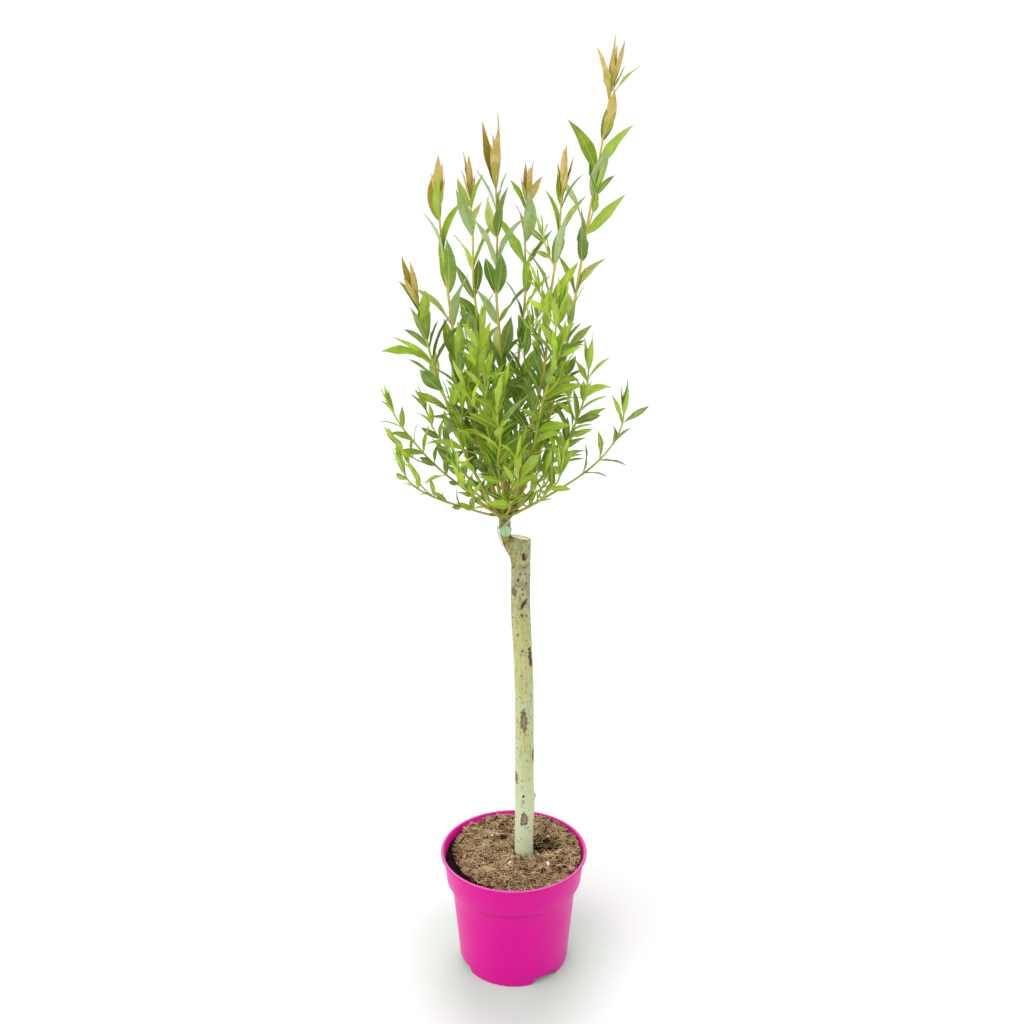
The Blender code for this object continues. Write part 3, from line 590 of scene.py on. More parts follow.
@dataclass(frozen=True)
class LeafFinish:
    """One side of a leaf: its colour, how much it is mottled, and its fine veins."""

    name: str
    colour: Colour
    other: Colour
    foot: Colour
    roughness: float = 0.45
    veins: float = 0.25

    def build(self) -> Material:
        """The leaf side's material.

        Returns:
            The material.
        """
        recipe = Recipe(self.name)
        patches = recipe.noise(75, 3)
        specks = recipe.noise(1500, 2)
        across, along, _ = recipe.axes(recipe.own_map(BLADE_MAP))
        lines = (along * 13 + abs(across) * -1.9).fraction()
        veins = abs(lines - 0.5).step(0.40, 0.49)
        recipe.colour = recipe.mix(patches.step(0.36, 0.64), self.colour, self.other)
        foot = (along + (patches - 0.5) * 0.9).step(0.62, 0.22)
        recipe.coat(foot * 0.75, self.foot)
        lit = tuple(min(1.0, part * 1.5 + 0.02) for part in self.colour[:3]) + (1.0,)
        recipe.coat(veins * self.veins, lit)
        recipe.relief(specks * 0.3 + veins * 0.7, 0.00025, 0.5)
        return recipe.finish(self.roughness + specks * 0.12, Specular_IOR_Level=0.16)


@dataclass(frozen=True)
class SoftPlastic:
    """The soft plastic of the plant tie, in one tint."""

    name: str
    tint: Colour
    cloud: Colour
    roughness: float = 0.4

    def build(self) -> Material:
        """The tie's material.

        Returns:
            The material.
        """
        recipe = Recipe(self.name)
        clouds = recipe.noise(300, 2)
        grain = recipe.noise(2400, 2)
        recipe.relief(grain, 0.0001, 0.4)
        recipe.colour = recipe.mix(clouds.step(0.35, 0.65), self.tint, self.cloud)
        return recipe.finish(self.roughness + grain * 0.1)


class Tint(Enum):
    """The colours that leaves come in, each with its upper side's two shades."""

    TAN = (paint(190, 160, 74), paint(204, 176, 100))
    ORANGE = (paint(208, 146, 76), paint(212, 170, 104))
    OCHRE = (paint(164, 144, 36), paint(182, 160, 56))
    LIME = (paint(166, 198, 32), paint(186, 212, 58))
    FRESH = (paint(140, 176, 32), paint(158, 190, 48))
    MID = (paint(122, 152, 30), paint(144, 168, 42))
    DEEP = (paint(86, 116, 24), paint(106, 134, 32))
    SILVER = (paint(166, 178, 84), paint(184, 192, 106))


class Under(Enum):
    """The colours of leaves' under sides, two shades each."""

    TAN = (paint(186, 162, 84), paint(206, 180, 112))
    LIME = (paint(154, 184, 58), paint(172, 196, 84))
    SAGE = (paint(114, 142, 60), paint(136, 162, 80))
    GREY = (paint(154, 178, 116), paint(176, 196, 138))


class Rib(Enum):
    """The colours of leaves' middle ribs, two shades each."""

    TAN = (paint(212, 180, 108), paint(220, 190, 122))
    PALE = (paint(186, 196, 100), paint(200, 206, 122))


UNDER_OF = {
    Tint.TAN: Under.TAN, Tint.ORANGE: Under.TAN, Tint.OCHRE: Under.TAN, Tint.LIME: Under.LIME,
    Tint.FRESH: Under.LIME, Tint.MID: Under.SAGE, Tint.DEEP: Under.SAGE, Tint.SILVER: Under.GREY,
}
RIB_OF = {tint: Rib.TAN if UNDER_OF[tint] is Under.TAN else Rib.PALE for tint in Tint}


class Age(Enum):
    """Where a leaf is on its shoot: in the bud at the tip, just below it, or full grown."""

    TIP = 0
    YOUNG = 1
    GROWN = 2


class Habit(Enum):
    """How a shoot's leaves are coloured: the chances of each tint at the tip, below it and further down."""

    ORANGE_TIPPED = 0
    TAN_TIPPED = 1
    OCHRE_TIPPED = 2
    BRIGHT = 3
    GREEN = 4


def deal(**weights: int) -> tuple[tuple[Tint, int], ...]:
    """Some tints, by name, each with its weight in a draw."""
    return tuple((Tint[name], weight) for name, weight in weights.items())


# What the grown leaves of every shoot with a coloured tip are dealt
TIPPED_GROWN = deal(MID=4, DEEP=2, SILVER=4, FRESH=3)
DEALS = {
    Habit.ORANGE_TIPPED: (deal(ORANGE=6, TAN=3, OCHRE=2), deal(OCHRE=3, FRESH=3, MID=2, SILVER=3),
                          TIPPED_GROWN),
    Habit.TAN_TIPPED: (deal(TAN=6, OCHRE=3, ORANGE=2), deal(OCHRE=3, FRESH=4, MID=1, SILVER=3),
                       TIPPED_GROWN),
    Habit.OCHRE_TIPPED: (deal(OCHRE=7, TAN=3), deal(SILVER=3, FRESH=4, MID=2), TIPPED_GROWN),
    Habit.BRIGHT: (deal(LIME=7, FRESH=3), deal(LIME=5, FRESH=5), deal(FRESH=5, MID=4, LIME=1)),
    Habit.GREEN: (deal(FRESH=6, LIME=2, MID=2), deal(FRESH=4, MID=5, DEEP=1), deal(MID=5, DEEP=5, FRESH=1)),
}


class Zone(Enum):
    """The parts of the head whose leaves and stems are joined."""

    TALL = "tall"
    LEFT = "left"
    RIGHT = "right"
    CENTRE = "centre"
    BACK = "back"


@dataclass(frozen=True)
class Shoot:
    """One shoot of the head: where its stem ends, how it gets there, and how it is clothed."""

    name: str
    end: tuple[float, float, float]
    swing: float
    turn: float
    girth: float
    bare: float
    leaf: float
    spacing: float
    spread: float
    bearing: float
    tips: int
    tip_leaf: float
    twigs: int
    zone: Zone
    habit: Habit

    @property
    def mass(self) -> str:
        """The node of its stem, twigs and leaves."""
        return "foliage_" + self.name

    @property
    def bough(self) -> str:
        """The node of its bare lower length, where it has one."""
        return "bough_" + self.name

    @property
    def has_bough(self) -> bool:
        """Whether its bare lower length is long enough to be a bough."""
        return self.bare > SHORTEST_BOUGH

    @property
    def start(self) -> float:
        """Where its leafy stem starts: past its bough, where it has one."""
        return self.bare + GAP if self.has_bough else 0.0


SHOOTS = (
    Shoot("tall_right", (0.11, 0.02, 1.073), 0.3, 6, 0.0028, 0.12, 0.068, 0.036, 28, 180, 5, 0.058, 2,
          Zone.TALL, Habit.ORANGE_TIPPED),
    Shoot("tall_centre", (-0.021, 0.02, 0.964), 0.5, 2, 0.0026, 0.115, 0.066, 0.033, 28, 20, 3, 0.084, 2,
          Zone.TALL, Habit.OCHRE_TIPPED),
    Shoot("tall_left", (-0.081, -0.05, 0.932), 0.8, 2, 0.0025, 0.11, 0.068, 0.035, 24, 285, 5, 0.052, 1,
          Zone.TALL, Habit.TAN_TIPPED),
    Shoot("mid_left", (-0.053, 0.065, 0.965), 0.6, 2.5, 0.0023, 0.11, 0.064, 0.035, 26, 150, 5, 0.052, 1,
          Zone.TALL, Habit.TAN_TIPPED),
    Shoot("mid_centre", (0.016, 0.08, 0.965), 0.6, 2.5, 0.0023, 0.11, 0.064, 0.034, 26, 10, 5, 0.05, 1,
          Zone.TALL, Habit.TAN_TIPPED),
    Shoot("mid_right", (0.051, -0.06, 0.944), 0.45, 4, 0.0024, 0.1, 0.062, 0.033, 24, 100, 5, 0.05, 2,
          Zone.TALL, Habit.ORANGE_TIPPED),
    Shoot("low_left", (-0.106, -0.05, 0.83), 0.36, 3, 0.0022, 0.085, 0.06, 0.028, 34, 170, 4, 0.052, 1,
          Zone.LEFT, Habit.OCHRE_TIPPED),
    Shoot("low_right", (0.085, -0.025, 0.76), 1, 1.9, 0.002, 0.06, 0.042, 0.024, 44, 10, 3, 0.044, 1,
          Zone.RIGHT, Habit.BRIGHT),
    Shoot("arching_right", (0.127, -0.02, 0.709), 1, 2, 0.0017, 0.07, 0.044, 0.024, 56, 20, 3, 0.042, 0,
          Zone.RIGHT, Habit.GREEN),
    Shoot("spreading_left", (-0.147, 0.015, 0.713), 0.6, 1.9, 0.0017, 0.045, 0.038, 0.019, 50, 60, 4, 0.034,
          1, Zone.LEFT, Habit.BRIGHT),
    Shoot("inner_left", (-0.112, 0.055, 0.714), 0.6, 1.8, 0.0017, 0.045, 0.036, 0.019, 42, 30, 4, 0.028, 1,
          Zone.LEFT, Habit.GREEN),
    Shoot("lowest_left", (-0.127, -0.04, 0.644), 0.9, 2.2, 0.0015, 0.03, 0.038, 0.018, 48, 70, 4, 0.036, 1,
          Zone.LEFT, Habit.BRIGHT),
    Shoot("front", (-0.018, -0.094, 0.723), 0.8, 2.2, 0.0016, 0.045, 0.044, 0.021, 44, 20, 4, 0.05, 0,
          Zone.CENTRE, Habit.GREEN),
    Shoot("front_short", (0.004, -0.104, 0.672), 0.9, 2, 0.0014, 0.026, 0.036, 0.018, 46, 0, 4, 0.032, 0,
          Zone.CENTRE, Habit.BRIGHT),
    Shoot("bright_left", (-0.037, -0.07, 0.792), 0.6, 2.2, 0.0019, 0.07, 0.052, 0.025, 34, 30, 3, 0.05, 1,
          Zone.CENTRE, Habit.BRIGHT),
    Shoot("bright_right", (0.047, -0.075, 0.818), 0.6, 2.2, 0.002, 0.075, 0.054, 0.026, 32, 60, 4, 0.048, 2,
          Zone.CENTRE, Habit.BRIGHT),
    Shoot("small_centre", (0.013, 0.04, 0.782), 0.5, 2.2, 0.0018, 0.07, 0.05, 0.025, 32, 120, 4, 0.028, 1,
          Zone.CENTRE, Habit.GREEN),
    Shoot("back_left", (-0.07, 0.092, 0.745), 0.8, 2, 0.0018, 0.05, 0.046, 0.022, 40, 40, 4, 0.04, 1,
          Zone.BACK, Habit.GREEN),
    Shoot("back", (-0.012, 0.098, 0.77), 0.7, 2, 0.0019, 0.055, 0.05, 0.023, 38, 80, 4, 0.044, 1,
          Zone.BACK, Habit.BRIGHT),
    Shoot("back_right", (0.048, 0.092, 0.748), 0.8, 2, 0.0018, 0.05, 0.046, 0.022, 40, 10, 4, 0.04, 1,
          Zone.BACK, Habit.GREEN),
    Shoot("back_low_left", (-0.088, 0.086, 0.66), 0.9, 2, 0.0015, 0.026, 0.038, 0.019, 46, 20, 4, 0.034, 0,
          Zone.BACK, Habit.GREEN),
    Shoot("back_low_right", (0.07, 0.088, 0.662), 0.9, 2, 0.0015, 0.026, 0.038, 0.019, 46, 60, 4, 0.034, 0,
          Zone.BACK, Habit.GREEN),
    Shoot("front_low_left", (-0.062, -0.101, 0.656), 0.9, 2, 0.0015, 0.026, 0.038, 0.019, 46, 30, 4, 0.034, 0,
          Zone.LEFT, Habit.BRIGHT),
    Shoot("front_low_right", (0.05, -0.099, 0.654), 0.9, 2, 0.0015, 0.026, 0.038, 0.019, 46, 50, 4, 0.034, 0,
          Zone.RIGHT, Habit.GREEN),
)

# Knuckle of the head, from which every shoot grows
KNUCKLE_CENTRE = Vector((-0.0110, -0.0020, 0.5890))
KNUCKLE_RADIUS = 0.0108

# How stems leave the knuckle and run
FOOT_SPREAD = 1.30
FOOT_ROOM = 0.0009
FOOT_ROUNDS = 80
LOWEST_FOOT = 112.0
FOOT_BEND = 0.012
STEM_SAMPLES = 96
STEM_RESERVE = 16
STEM_TIP_RADIUS = 0.0010
THREE_SIDED = 1.30
SHORTEST_BOUGH = 0.065
BOUGH_SIDES_ROOM = 1.06
BOUGH_STEP = 0.022
BOUGH_SIDES = 7
SWAY = 0.0022
LEAFLESS_FOOT = 0.006

# How leaves grow: the shares are of a leaf's own length
LEAF_WIDEST = 0.44
LEAF_WIDTH = 0.235
LEAF_LEAST_THICK = 0.0009
LEAF_THICK_SHARE = 0.014
LEAF_ROOT_HALF = 0.0003
LEAF_LIFT = 0.9
LEAF_ARCH = 0.07
LEAF_TRIES = 6
LEAF_REACH = 0.62
GROWN_NODES = 3
LOWER_SPREAD = 0.35
LOWER_FALL = 0.22
PAIR_SLIP = 0.16
BLADE_START = 0.16
BLADE_PAD = 0.0005
TIP_LEAF_WIDTH = 0.165
TIP_LEAF_FALL = 0.09
TIP_NODE_GAP = 0.0014
TIP_OPENING = 6.0
TIP_OPENING_STEP = 3.2
FIRST_NODE_SHARE = 0.30
GOLDEN_ANGLE = 137.5
LOWEST_LEAF_Z = 0.556

# How side twigs grow
TWIG_RADIUS = 0.0011
TWIG_LENGTHS = (0.036, 0.056)
TWIG_OPENING = 46.0
TWIG_SAMPLES = 10
TWIG_LIFT = 0.09
TWIG_LEAF = 0.036
TWIG_TIP_LEAF = 0.030
TWIG_SPREAD = 42.0
TWIG_SPACING = 0.018
TWIG_BARE = 0.012

# The map on leaf blades: x is the share across, y the share along
BLADE_MAP = "blade"


@dataclass(frozen=True)
class Dress:
    """How one stem is clothed: its leaves' length, spacing and spread, and those of its tip."""

    leaf: float
    spacing: float
    spread: float
    bearing: float
    tips: int
    tip_leaf: float


@dataclass
class Leaf:
    """A leaf: where it is rooted, which way it points and faces, its size, and its place on its shoot."""

    root: Vector
    along: Vector
    face: Vector
    length: float
    width: float
    arch: float
    mark: str = ""
    age: Age = Age.GROWN


class Path:
    """A stem's centre line, read by length from its foot."""

    def __init__(self, points: list[Vector], start: Vector | None = None) -> None:
        """Measures the line.

        Args:
            points: The points of the line, from its foot.
            start: The direction at its foot, where that is set.
        """
        self.points = points
        self.start = start
        self.lengths = [0.0]
        for low, high in zip(points, points[1:]):
            self.lengths.append(self.lengths[-1] + (high - low).length)

    @property
    def length(self) -> float:
        """The whole length."""
        return self.lengths[-1]

    def at(self, distance: float) -> tuple[Vector, Vector]:
        """The point and the direction at a distance from the foot.

        Args:
            distance: How far from the foot, kept within the line.

        Returns:
            The point and the direction.
        """
        if distance <= 0 and self.start:
            return self.points[0], self.start
        distance = min(max(distance, 0.0), self.length)
        index = 1
        while index < len(self.points) - 1 and self.lengths[index] < distance:
            index += 1
        low, high = self.points[index - 1], self.points[index]
        span = self.lengths[index] - self.lengths[index - 1]
        point = low.lerp(high, (distance - self.lengths[index - 1]) / span)
        return point, self.direction(index, distance)

    def direction(self, index: int, distance: float) -> Vector:
        """A smooth direction: the mean of the steps round a distance, weighted by how near they are.

        Args:
            index: The number of the line's point past the distance.
            distance: How far from the foot.

        Returns:
            The direction, of length 1.
        """
        here = (self.points[index] - self.points[index - 1]).normalized()
        before = (self.points[max(index - 1, 1)] - self.points[max(index - 2, 0)]).normalized()
        last = len(self.points) - 1
        after = (self.points[min(index + 1, last)] - self.points[min(index, last - 1)]).normalized()
        share = (distance - self.lengths[index - 1]) / (self.lengths[index] - self.lengths[index - 1])
        return (here + before * (1 - share) + after * share).normalized()


def ring_at(point: Vector, tangent: Vector, side: Vector, radius: float,
            sides: int) -> tuple[list[Vector], Vector]:
    """The corners of one flat ring round a point.

    Args:
        point: The ring's centre.
        tangent: The direction that it is square to.
        side: A direction that it starts near.
        radius: Its radius.
        sides: How many corners it has.

    Returns:
        The corners, and the side axis that they start from.
    """
    side = (side - tangent * side.dot(tangent)).normalized()
    other = tangent.cross(side)
    turns = [math.tau * step / sides for step in range(sides)]
    return [point + (side * math.cos(a) + other * math.sin(a)) * radius for a in turns], side


def clearance_limb(stations: list[tuple[Vector, Vector]], radii: list[float],
                   sides: int) -> Shape:
    """A plain limb that keeps a stem's room: rings square to the direction at each station.

    Args:
        stations: Points along its line, each with its direction.
        radii: Its radius at each station.
        sides: How many sides it has.

    Returns:
        The limb's shape.
    """
    bm = bmesh.new()
    rings = []
    side = Vector((1, 0, 0))
    for (point, tangent), radius in zip(stations, radii):
        corners, side = ring_at(point, tangent, side, radius, sides)
        rings.append([bm.verts.new(corner) for corner in corners])
    for low, high in zip(rings, rings[1:]):
        for step in range(sides):
            ahead = (step + 1) % sides
            bm.faces.new((low[step], low[ahead], high[ahead], high[step]))
    bm.faces.new(rings[0][::-1])
    bm.faces.new(rings[-1])
    return bm


def clearance_blade(leaf: Leaf) -> Shape:
    """A plain keeled kite that keeps a leaf's room, without its root.

    Args:
        leaf: The leaf.

    Returns:
        The blade's shape.
    """
    across = leaf.along.cross(leaf.face)
    thick = max(LEAF_LEAST_THICK, leaf.length * LEAF_THICK_SHARE)
    root = leaf.root + leaf.along * (leaf.length * BLADE_START)
    middle = leaf.root + leaf.along * (leaf.length * LEAF_WIDEST) + leaf.face * (leaf.length * leaf.arch)
    half = leaf.width / 2 + BLADE_PAD
    bm = bmesh.new()
    root_top = bm.verts.new(root + leaf.face * (LEAF_ROOT_HALF + BLADE_PAD))
    root_low = bm.verts.new(root - leaf.face * (LEAF_ROOT_HALF + BLADE_PAD))
    left = bm.verts.new(middle - across * half + leaf.face * BLADE_PAD)
    right = bm.verts.new(middle + across * half + leaf.face * BLADE_PAD)
    keel = bm.verts.new(middle - leaf.face * (thick + BLADE_PAD))
    tip = bm.verts.new(leaf.root + leaf.along * (leaf.length + BLADE_PAD))
    faces = ((root_top, right, left), (left, right, tip), (root_top, left, root_low),
             (root_top, root_low, right), (root_low, left, keel), (root_low, keel, right),
             (left, tip, keel), (right, keel, tip))
    for corners in faces:
        bm.faces.new(corners)
    return bm


class Space:
    """What already stands in the head, for keeping new leaves and twigs off it."""

    def __init__(self) -> None:
        """Starts with nothing standing."""
        self.limbs: list[tuple[str, BVHTree]] = []
        self.blades: list[tuple[str, BVHTree, Vector, float]] = []

    def add_limb(self, owner: str, bm: Shape) -> None:
        """Remembers a bough, stem or twig of an owner."""
        self.limbs.append((owner, BVHTree.FromBMesh(bm)))

    def hits_limb(self, owner: str, tree: BVHTree) -> bool:
        """Whether a shape touches a limb of another owner."""
        return any(other != owner and tree.overlap(limb_tree) for other, limb_tree in self.limbs)

    def leaf_fits(self, owner: str, leaf: Leaf, siblings: set[str]) -> BVHTree | None:
        """The leaf's blade, if it is clear of other owners' limbs and of every blade but its siblings.

        Args:
            owner: The mass that the leaf grows in.
            leaf: The leaf.
            siblings: The marks of the leaves that it may touch.

        Returns:
            The blade's tree, or None where something stands in its way.
        """
        tip = leaf.root + leaf.along * leaf.length
        if min(tip.z, leaf.root.z) < LOWEST_LEAF_Z:
            return None
        blade = clearance_blade(leaf)
        tree = BVHTree.FromBMesh(blade)
        blade.free()
        if self.hits_limb(owner, tree):
            return None
        centre, reach = leaf.root.lerp(tip, 0.5), leaf.length * LEAF_REACH
        for mark, other, other_centre, other_reach in self.blades:
            near = (centre - other_centre).length < reach + other_reach
            if near and mark not in siblings and tree.overlap(other):
                return None
        return tree

    def limb_fits(self, owner: str, bm: Shape) -> bool:
        """Whether a new twig is clear of other owners' limbs and of every blade."""
        tree = BVHTree.FromBMesh(bm)
        return not (self.hits_limb(owner, tree) or any(tree.overlap(blade[1]) for blade in self.blades))


@dataclass(frozen=True)
class Aim:
    """How a leaf is set on its stem."""

    distance: float
    around: float
    opening: float
    roll: float
    length: float
    slender: float
    arch: float


def outward(tangent: Vector, around: float) -> Vector:
    """The direction square to a stem at a bearing round it.

    Args:
        tangent: The stem's direction.
        around: The bearing in degrees.

    Returns:
        The direction.
    """
    side = (Vector((1, 0, 0)) - tangent * tangent.x).normalized()
    other = tangent.cross(side)
    return side * math.cos(math.radians(around)) + other * math.sin(math.radians(around))


def make_leaf(path: Path, aim: Aim, mark: str, age: Age) -> Leaf:
    """A leaf on a stem: opened from it, lifted towards the light, rolled about itself.

    Args:
        path: The stem's centre line.
        aim: How the leaf is set on it.
        mark: The leaf's own name.
        age: Where it is on its shoot.

    Returns:
        The leaf.
    """
    point, tangent = path.at(aim.distance)
    out = outward(tangent, aim.around)
    angle = math.radians(aim.opening)
    lift = Vector((0, 0, LEAF_LIFT * (1 - tangent.z)))
    along = (tangent * math.cos(angle) + out * math.sin(angle) + lift).normalized()
    face = tangent * math.sin(angle) - out * math.cos(angle)
    face = (face - along * face.dot(along)).normalized()
    turn = math.radians(aim.roll)
    face = face * math.cos(turn) + along.cross(face) * math.sin(turn)
    return Leaf(point, along, face, aim.length, aim.length * aim.slender, aim.arch, mark, age)


def try_leaf(space: Space, owner: str, mark: str, siblings: list[str], path: Path, aim: Aim,
             age: Age) -> list[Leaf]:
    """Places a leaf by its aim, turned a little at each try until it is clear.

    Args:
        space: What already stands.
        owner: The mass that the leaf grows in.
        mark: The leaf's own name in its mass.
        siblings: The marks of the leaves that it may touch.
        path: The stem's centre line.
        aim: How it is set on the stem.
        age: Where it is on its shoot.

    Returns:
        The leaf in a list, which is empty where no try is clear.
    """
    chance = random.Random(f"{owner} {mark}")
    for _ in range(LEAF_TRIES):
        leaf = make_leaf(path, aim, f"{owner} {mark}", age)
        tree = space.leaf_fits(owner, leaf, {f"{owner} {other}" for other in siblings})
        if tree:
            centre = leaf.root + leaf.along * (leaf.length / 2)
            space.blades.append((leaf.mark, tree, centre, leaf.length * LEAF_REACH))
            return [leaf]
        aim = replace(aim, around=aim.around + chance.uniform(-34, 34),
                      opening=aim.opening + chance.uniform(-5, 12), length=aim.length * 0.94)
    return []


def tip_leaves(space: Space, owner: str, prefix: str, path: Path, dress: Dress,
               chance: random.Random) -> list[Leaf]:
    """The upright young leaves at the end of a stem, a golden angle apart.

    Args:
        space: What already stands.
        owner: The mass that the stem grows in.
        prefix: The stem's own name in its mass.
        path: The stem's centre line.
        dress: Its leaves' sizes.
        chance: The stem's random draws.

    Returns:
        The leaves that are clear.
    """
    leaves = []
    marks = [f"{prefix} tip {index}" for index in range(dress.tips)]
    for index, mark in enumerate(marks):
        distance = path.length - TIP_NODE_GAP * (index + 1)
        around = dress.bearing + index * GOLDEN_ANGLE
        opening = TIP_OPENING + TIP_OPENING_STEP * index + chance.uniform(-1.5, 1.5)
        length = dress.tip_leaf * (1 - TIP_LEAF_FALL * index) * chance.uniform(0.92, 1.06)
        aim = Aim(distance, around, opening, chance.uniform(-20, 20), length, TIP_LEAF_WIDTH, 0.01)
        leaves += try_leaf(space, owner, mark, marks, path, aim, Age.TIP)
    return leaves


def clothe(space: Space, owner: str, prefix: str, path: Path, leafy: float,
           dress: Dress) -> tuple[list[Leaf], list[float]]:
    """Grows the leaves of one stem: its tip, then pairs, each a quarter turn on.

    Args:
        space: What already stands.
        owner: The mass that the stem grows in.
        prefix: The stem's own name in its mass.
        path: The stem's centre line.
        leafy: How far down from its tip it has leaves.
        dress: Its leaves' sizes and spacing.

    Returns:
        The leaves, and the distances of their nodes.
    """
    chance = random.Random(f"{owner} {prefix}")
    leaves = tip_leaves(space, owner, prefix, path, dress, chance)
    nodes = []
    distance = path.length - dress.tip_leaf * FIRST_NODE_SHARE
    while distance > path.length - leafy:
        number = len(nodes)
        nodes.append(distance)
        grown_up = min(1.0, (number + 1) / GROWN_NODES)
        lower = (path.length - distance) / leafy
        opening = dress.spread * (0.55 + 0.45 * grown_up) * (1 + LOWER_SPREAD * lower)
        pair = [f"{prefix} {number} {side}" for side in (0, 1)]
        for side, mark in enumerate(pair):
            slip = chance.uniform(0, PAIR_SLIP) * dress.spacing * side
            around = dress.bearing + 90 * number + 180 * side + chance.uniform(-16, 16)
            share = (0.72 + 0.28 * grown_up) * (1 - LOWER_FALL * lower ** 2)
            length = dress.leaf * share * chance.uniform(0.84, 1.1)
            aim = Aim(distance - slip, around, opening * chance.uniform(0.75, 1.25), chance.uniform(-62, 62),
                      length, LEAF_WIDTH, chance.uniform(0.0, LEAF_ARCH))
            age = Age.YOUNG if number < 2 else Age.GROWN
            leaves += try_leaf(space, owner, mark, pair, path, aim, age)
        distance -= dress.spacing * chance.uniform(0.88, 1.12)
    return leaves, nodes


def out_share(shoot: Shoot, rise: float) -> float:
    """How far out a stem is, as a share of its reach, at a share of its rise."""
    early = 1 - (1 - rise) ** shoot.turn
    return shoot.swing * early + (1 - shoot.swing) * rise


def foot_radius(shoot: Shoot) -> float:
    """How far a shoot's foot reaches round its centre."""
    return shoot.girth * (BOUGH_SIDES_ROOM if shoot.has_bough else THREE_SIDED)


def foot_directions() -> list[Vector]:
    """Where each shoot sits on the knuckle: a direction from its centre, pushed clear of its neighbours.

    Returns:
        The directions, in the shoots' order.
    """
    directions = []
    for shoot in SHOOTS:
        reach = Vector(shoot.end) - KNUCKLE_CENTRE
        steep = shoot.swing * shoot.turn + (1 - shoot.swing)
        polar = math.atan2(Vector((reach.x, reach.y)).length * steep, reach.z)
        polar = min(polar * FOOT_SPREAD, math.radians(LOWEST_FOOT))
        around = math.atan2(reach.y, reach.x)
        directions.append(Vector((math.sin(polar) * math.cos(around),
                                  math.sin(polar) * math.sin(around), math.cos(polar))))
    for _ in range(FOOT_ROUNDS):
        for first in range(len(SHOOTS)):
            for second in range(first + 1, len(SHOOTS)):
                apart = directions[first] - directions[second]
                room = foot_radius(SHOOTS[first]) + foot_radius(SHOOTS[second]) + FOOT_ROOM
                lack = room / KNUCKLE_RADIUS - apart.length
                if lack > 0:
                    push = apart.normalized() * lack * 0.5
                    directions[first] = (directions[first] + push).normalized()
                    directions[second] = (directions[second] - push).normalized()
    return directions


def stem_path(shoot: Shoot, direction: Vector) -> Path:
    """The centre line of a shoot's stem: square to the knuckle at its foot, with a slight sideways sway.

    Args:
        shoot: The shoot.
        direction: Where it sits on the knuckle.

    Returns:
        The centre line.
    """
    foot = KNUCKLE_CENTRE + direction * (KNUCKLE_RADIUS + GAP)
    end = Vector(shoot.end)
    reach = Vector((end.x - foot.x, end.y - foot.y, 0))
    across = Vector((-reach.y, reach.x, 0)).normalized()
    chance = random.Random(shoot.name + " sway")
    waves = chance.uniform(1.6, 2.6)
    start = chance.uniform(0, math.tau)
    points = []
    for step in range(STEM_SAMPLES + 1):
        rise = step / STEM_SAMPLES
        sway = SWAY * math.sin(start + math.tau * waves * rise) * math.sin(math.pi * rise) ** 0.5
        points.append(foot + reach * out_share(shoot, rise) + Vector((0, 0, (end.z - foot.z) * rise))
                      + across * sway * min(1.0, rise * 4))
    lack = direction - (points[1] - points[0]).normalized()
    squared = []
    for point in points:
        away = (point - foot).length
        squared.append(point + lack * away * math.exp(-away / FOOT_BEND))
    return Path(squared, direction)


def stem_radius(share: float, foot_girth: float, tip_girth: float) -> float:
    """Radius of a stem at a share of its length: it tapers a little faster near its foot."""
    return foot_girth + (tip_girth - foot_girth) * share ** 0.8


def side_twig(path: Path, distance: float, around: float, length: float) -> Path:
    """The centre line of a twig that leaves a stem at an angle and turns up towards the light.

    Args:
        path: The stem's centre line.
        distance: Where the twig leaves it.
        around: The twig's bearing round the stem, in degrees.
        length: The twig's length.

    Returns:
        The twig's centre line.
    """
    point, tangent = path.at(distance)
    opening = math.radians(TWIG_OPENING)
    heading = tangent * math.cos(opening) + outward(tangent, around) * math.sin(opening)
    points = [point]
    for _ in range(TWIG_SAMPLES):
        heading = (heading + Vector((0, 0, TWIG_LIFT))).normalized()
        points.append(points[-1] + heading * length / TWIG_SAMPLES)
    return Path(points)


@dataclass
class Stem:
    """A grown stem or twig: its centre line, its girth and the nodes that its leaves sit at."""

    path: Path
    foot_girth: float
    tip_girth: float
    nodes: list[float]


class Template:
    """A small shape made once with mesh operators, for copying many times."""

    def __init__(self, bm: Shape) -> None:
        """Reads a bmesh's points, faces and face roles, and frees it.

        Args:
            bm: The shape.
        """
        bm.verts.index_update()
        self.points = np.array([tuple(vert.co) for vert in bm.verts])
        self.loops = np.array([vert.index for face in bm.faces for vert in face.verts])
        self.sizes = np.array([len(face.verts) for face in bm.faces])
        self.roles = np.array([face.material_index for face in bm.faces])
        bm.free()


def ringed_tube(sides: int, cuts: int) -> Shape:
    """A tube of radius 1 and length 1 about the origin, with flat ends and evenly spaced rings.

    Args:
        sides: How many sides it has.
        cuts: How many rings lie between its ends.

    Returns:
        The tube.
    """
    bm = bmesh.new()
    bmesh.ops.create_cone(bm, cap_ends=True, segments=sides, radius1=1, radius2=1, depth=1)
    long_edges = [edge for edge in bm.edges if abs(edge.verts[0].co.z - edge.verts[1].co.z) > 0.5]
    bmesh.ops.subdivide_edges(bm, edges=long_edges, cuts=cuts, use_grid_fill=True)
    return bm


def unit_tube(sides: int, cuts: int) -> Template:
    """A ringed tube to copy, from height 0 to 1.

    Args:
        sides: How many sides it has.
        cuts: How many rings lie between its ends.

    Returns:
        The tube.
    """
    bm = ringed_tube(sides, cuts)
    bmesh.ops.translate(bm, verts=bm.verts[:], vec=(0, 0, 0.5))
    return Template(bm)


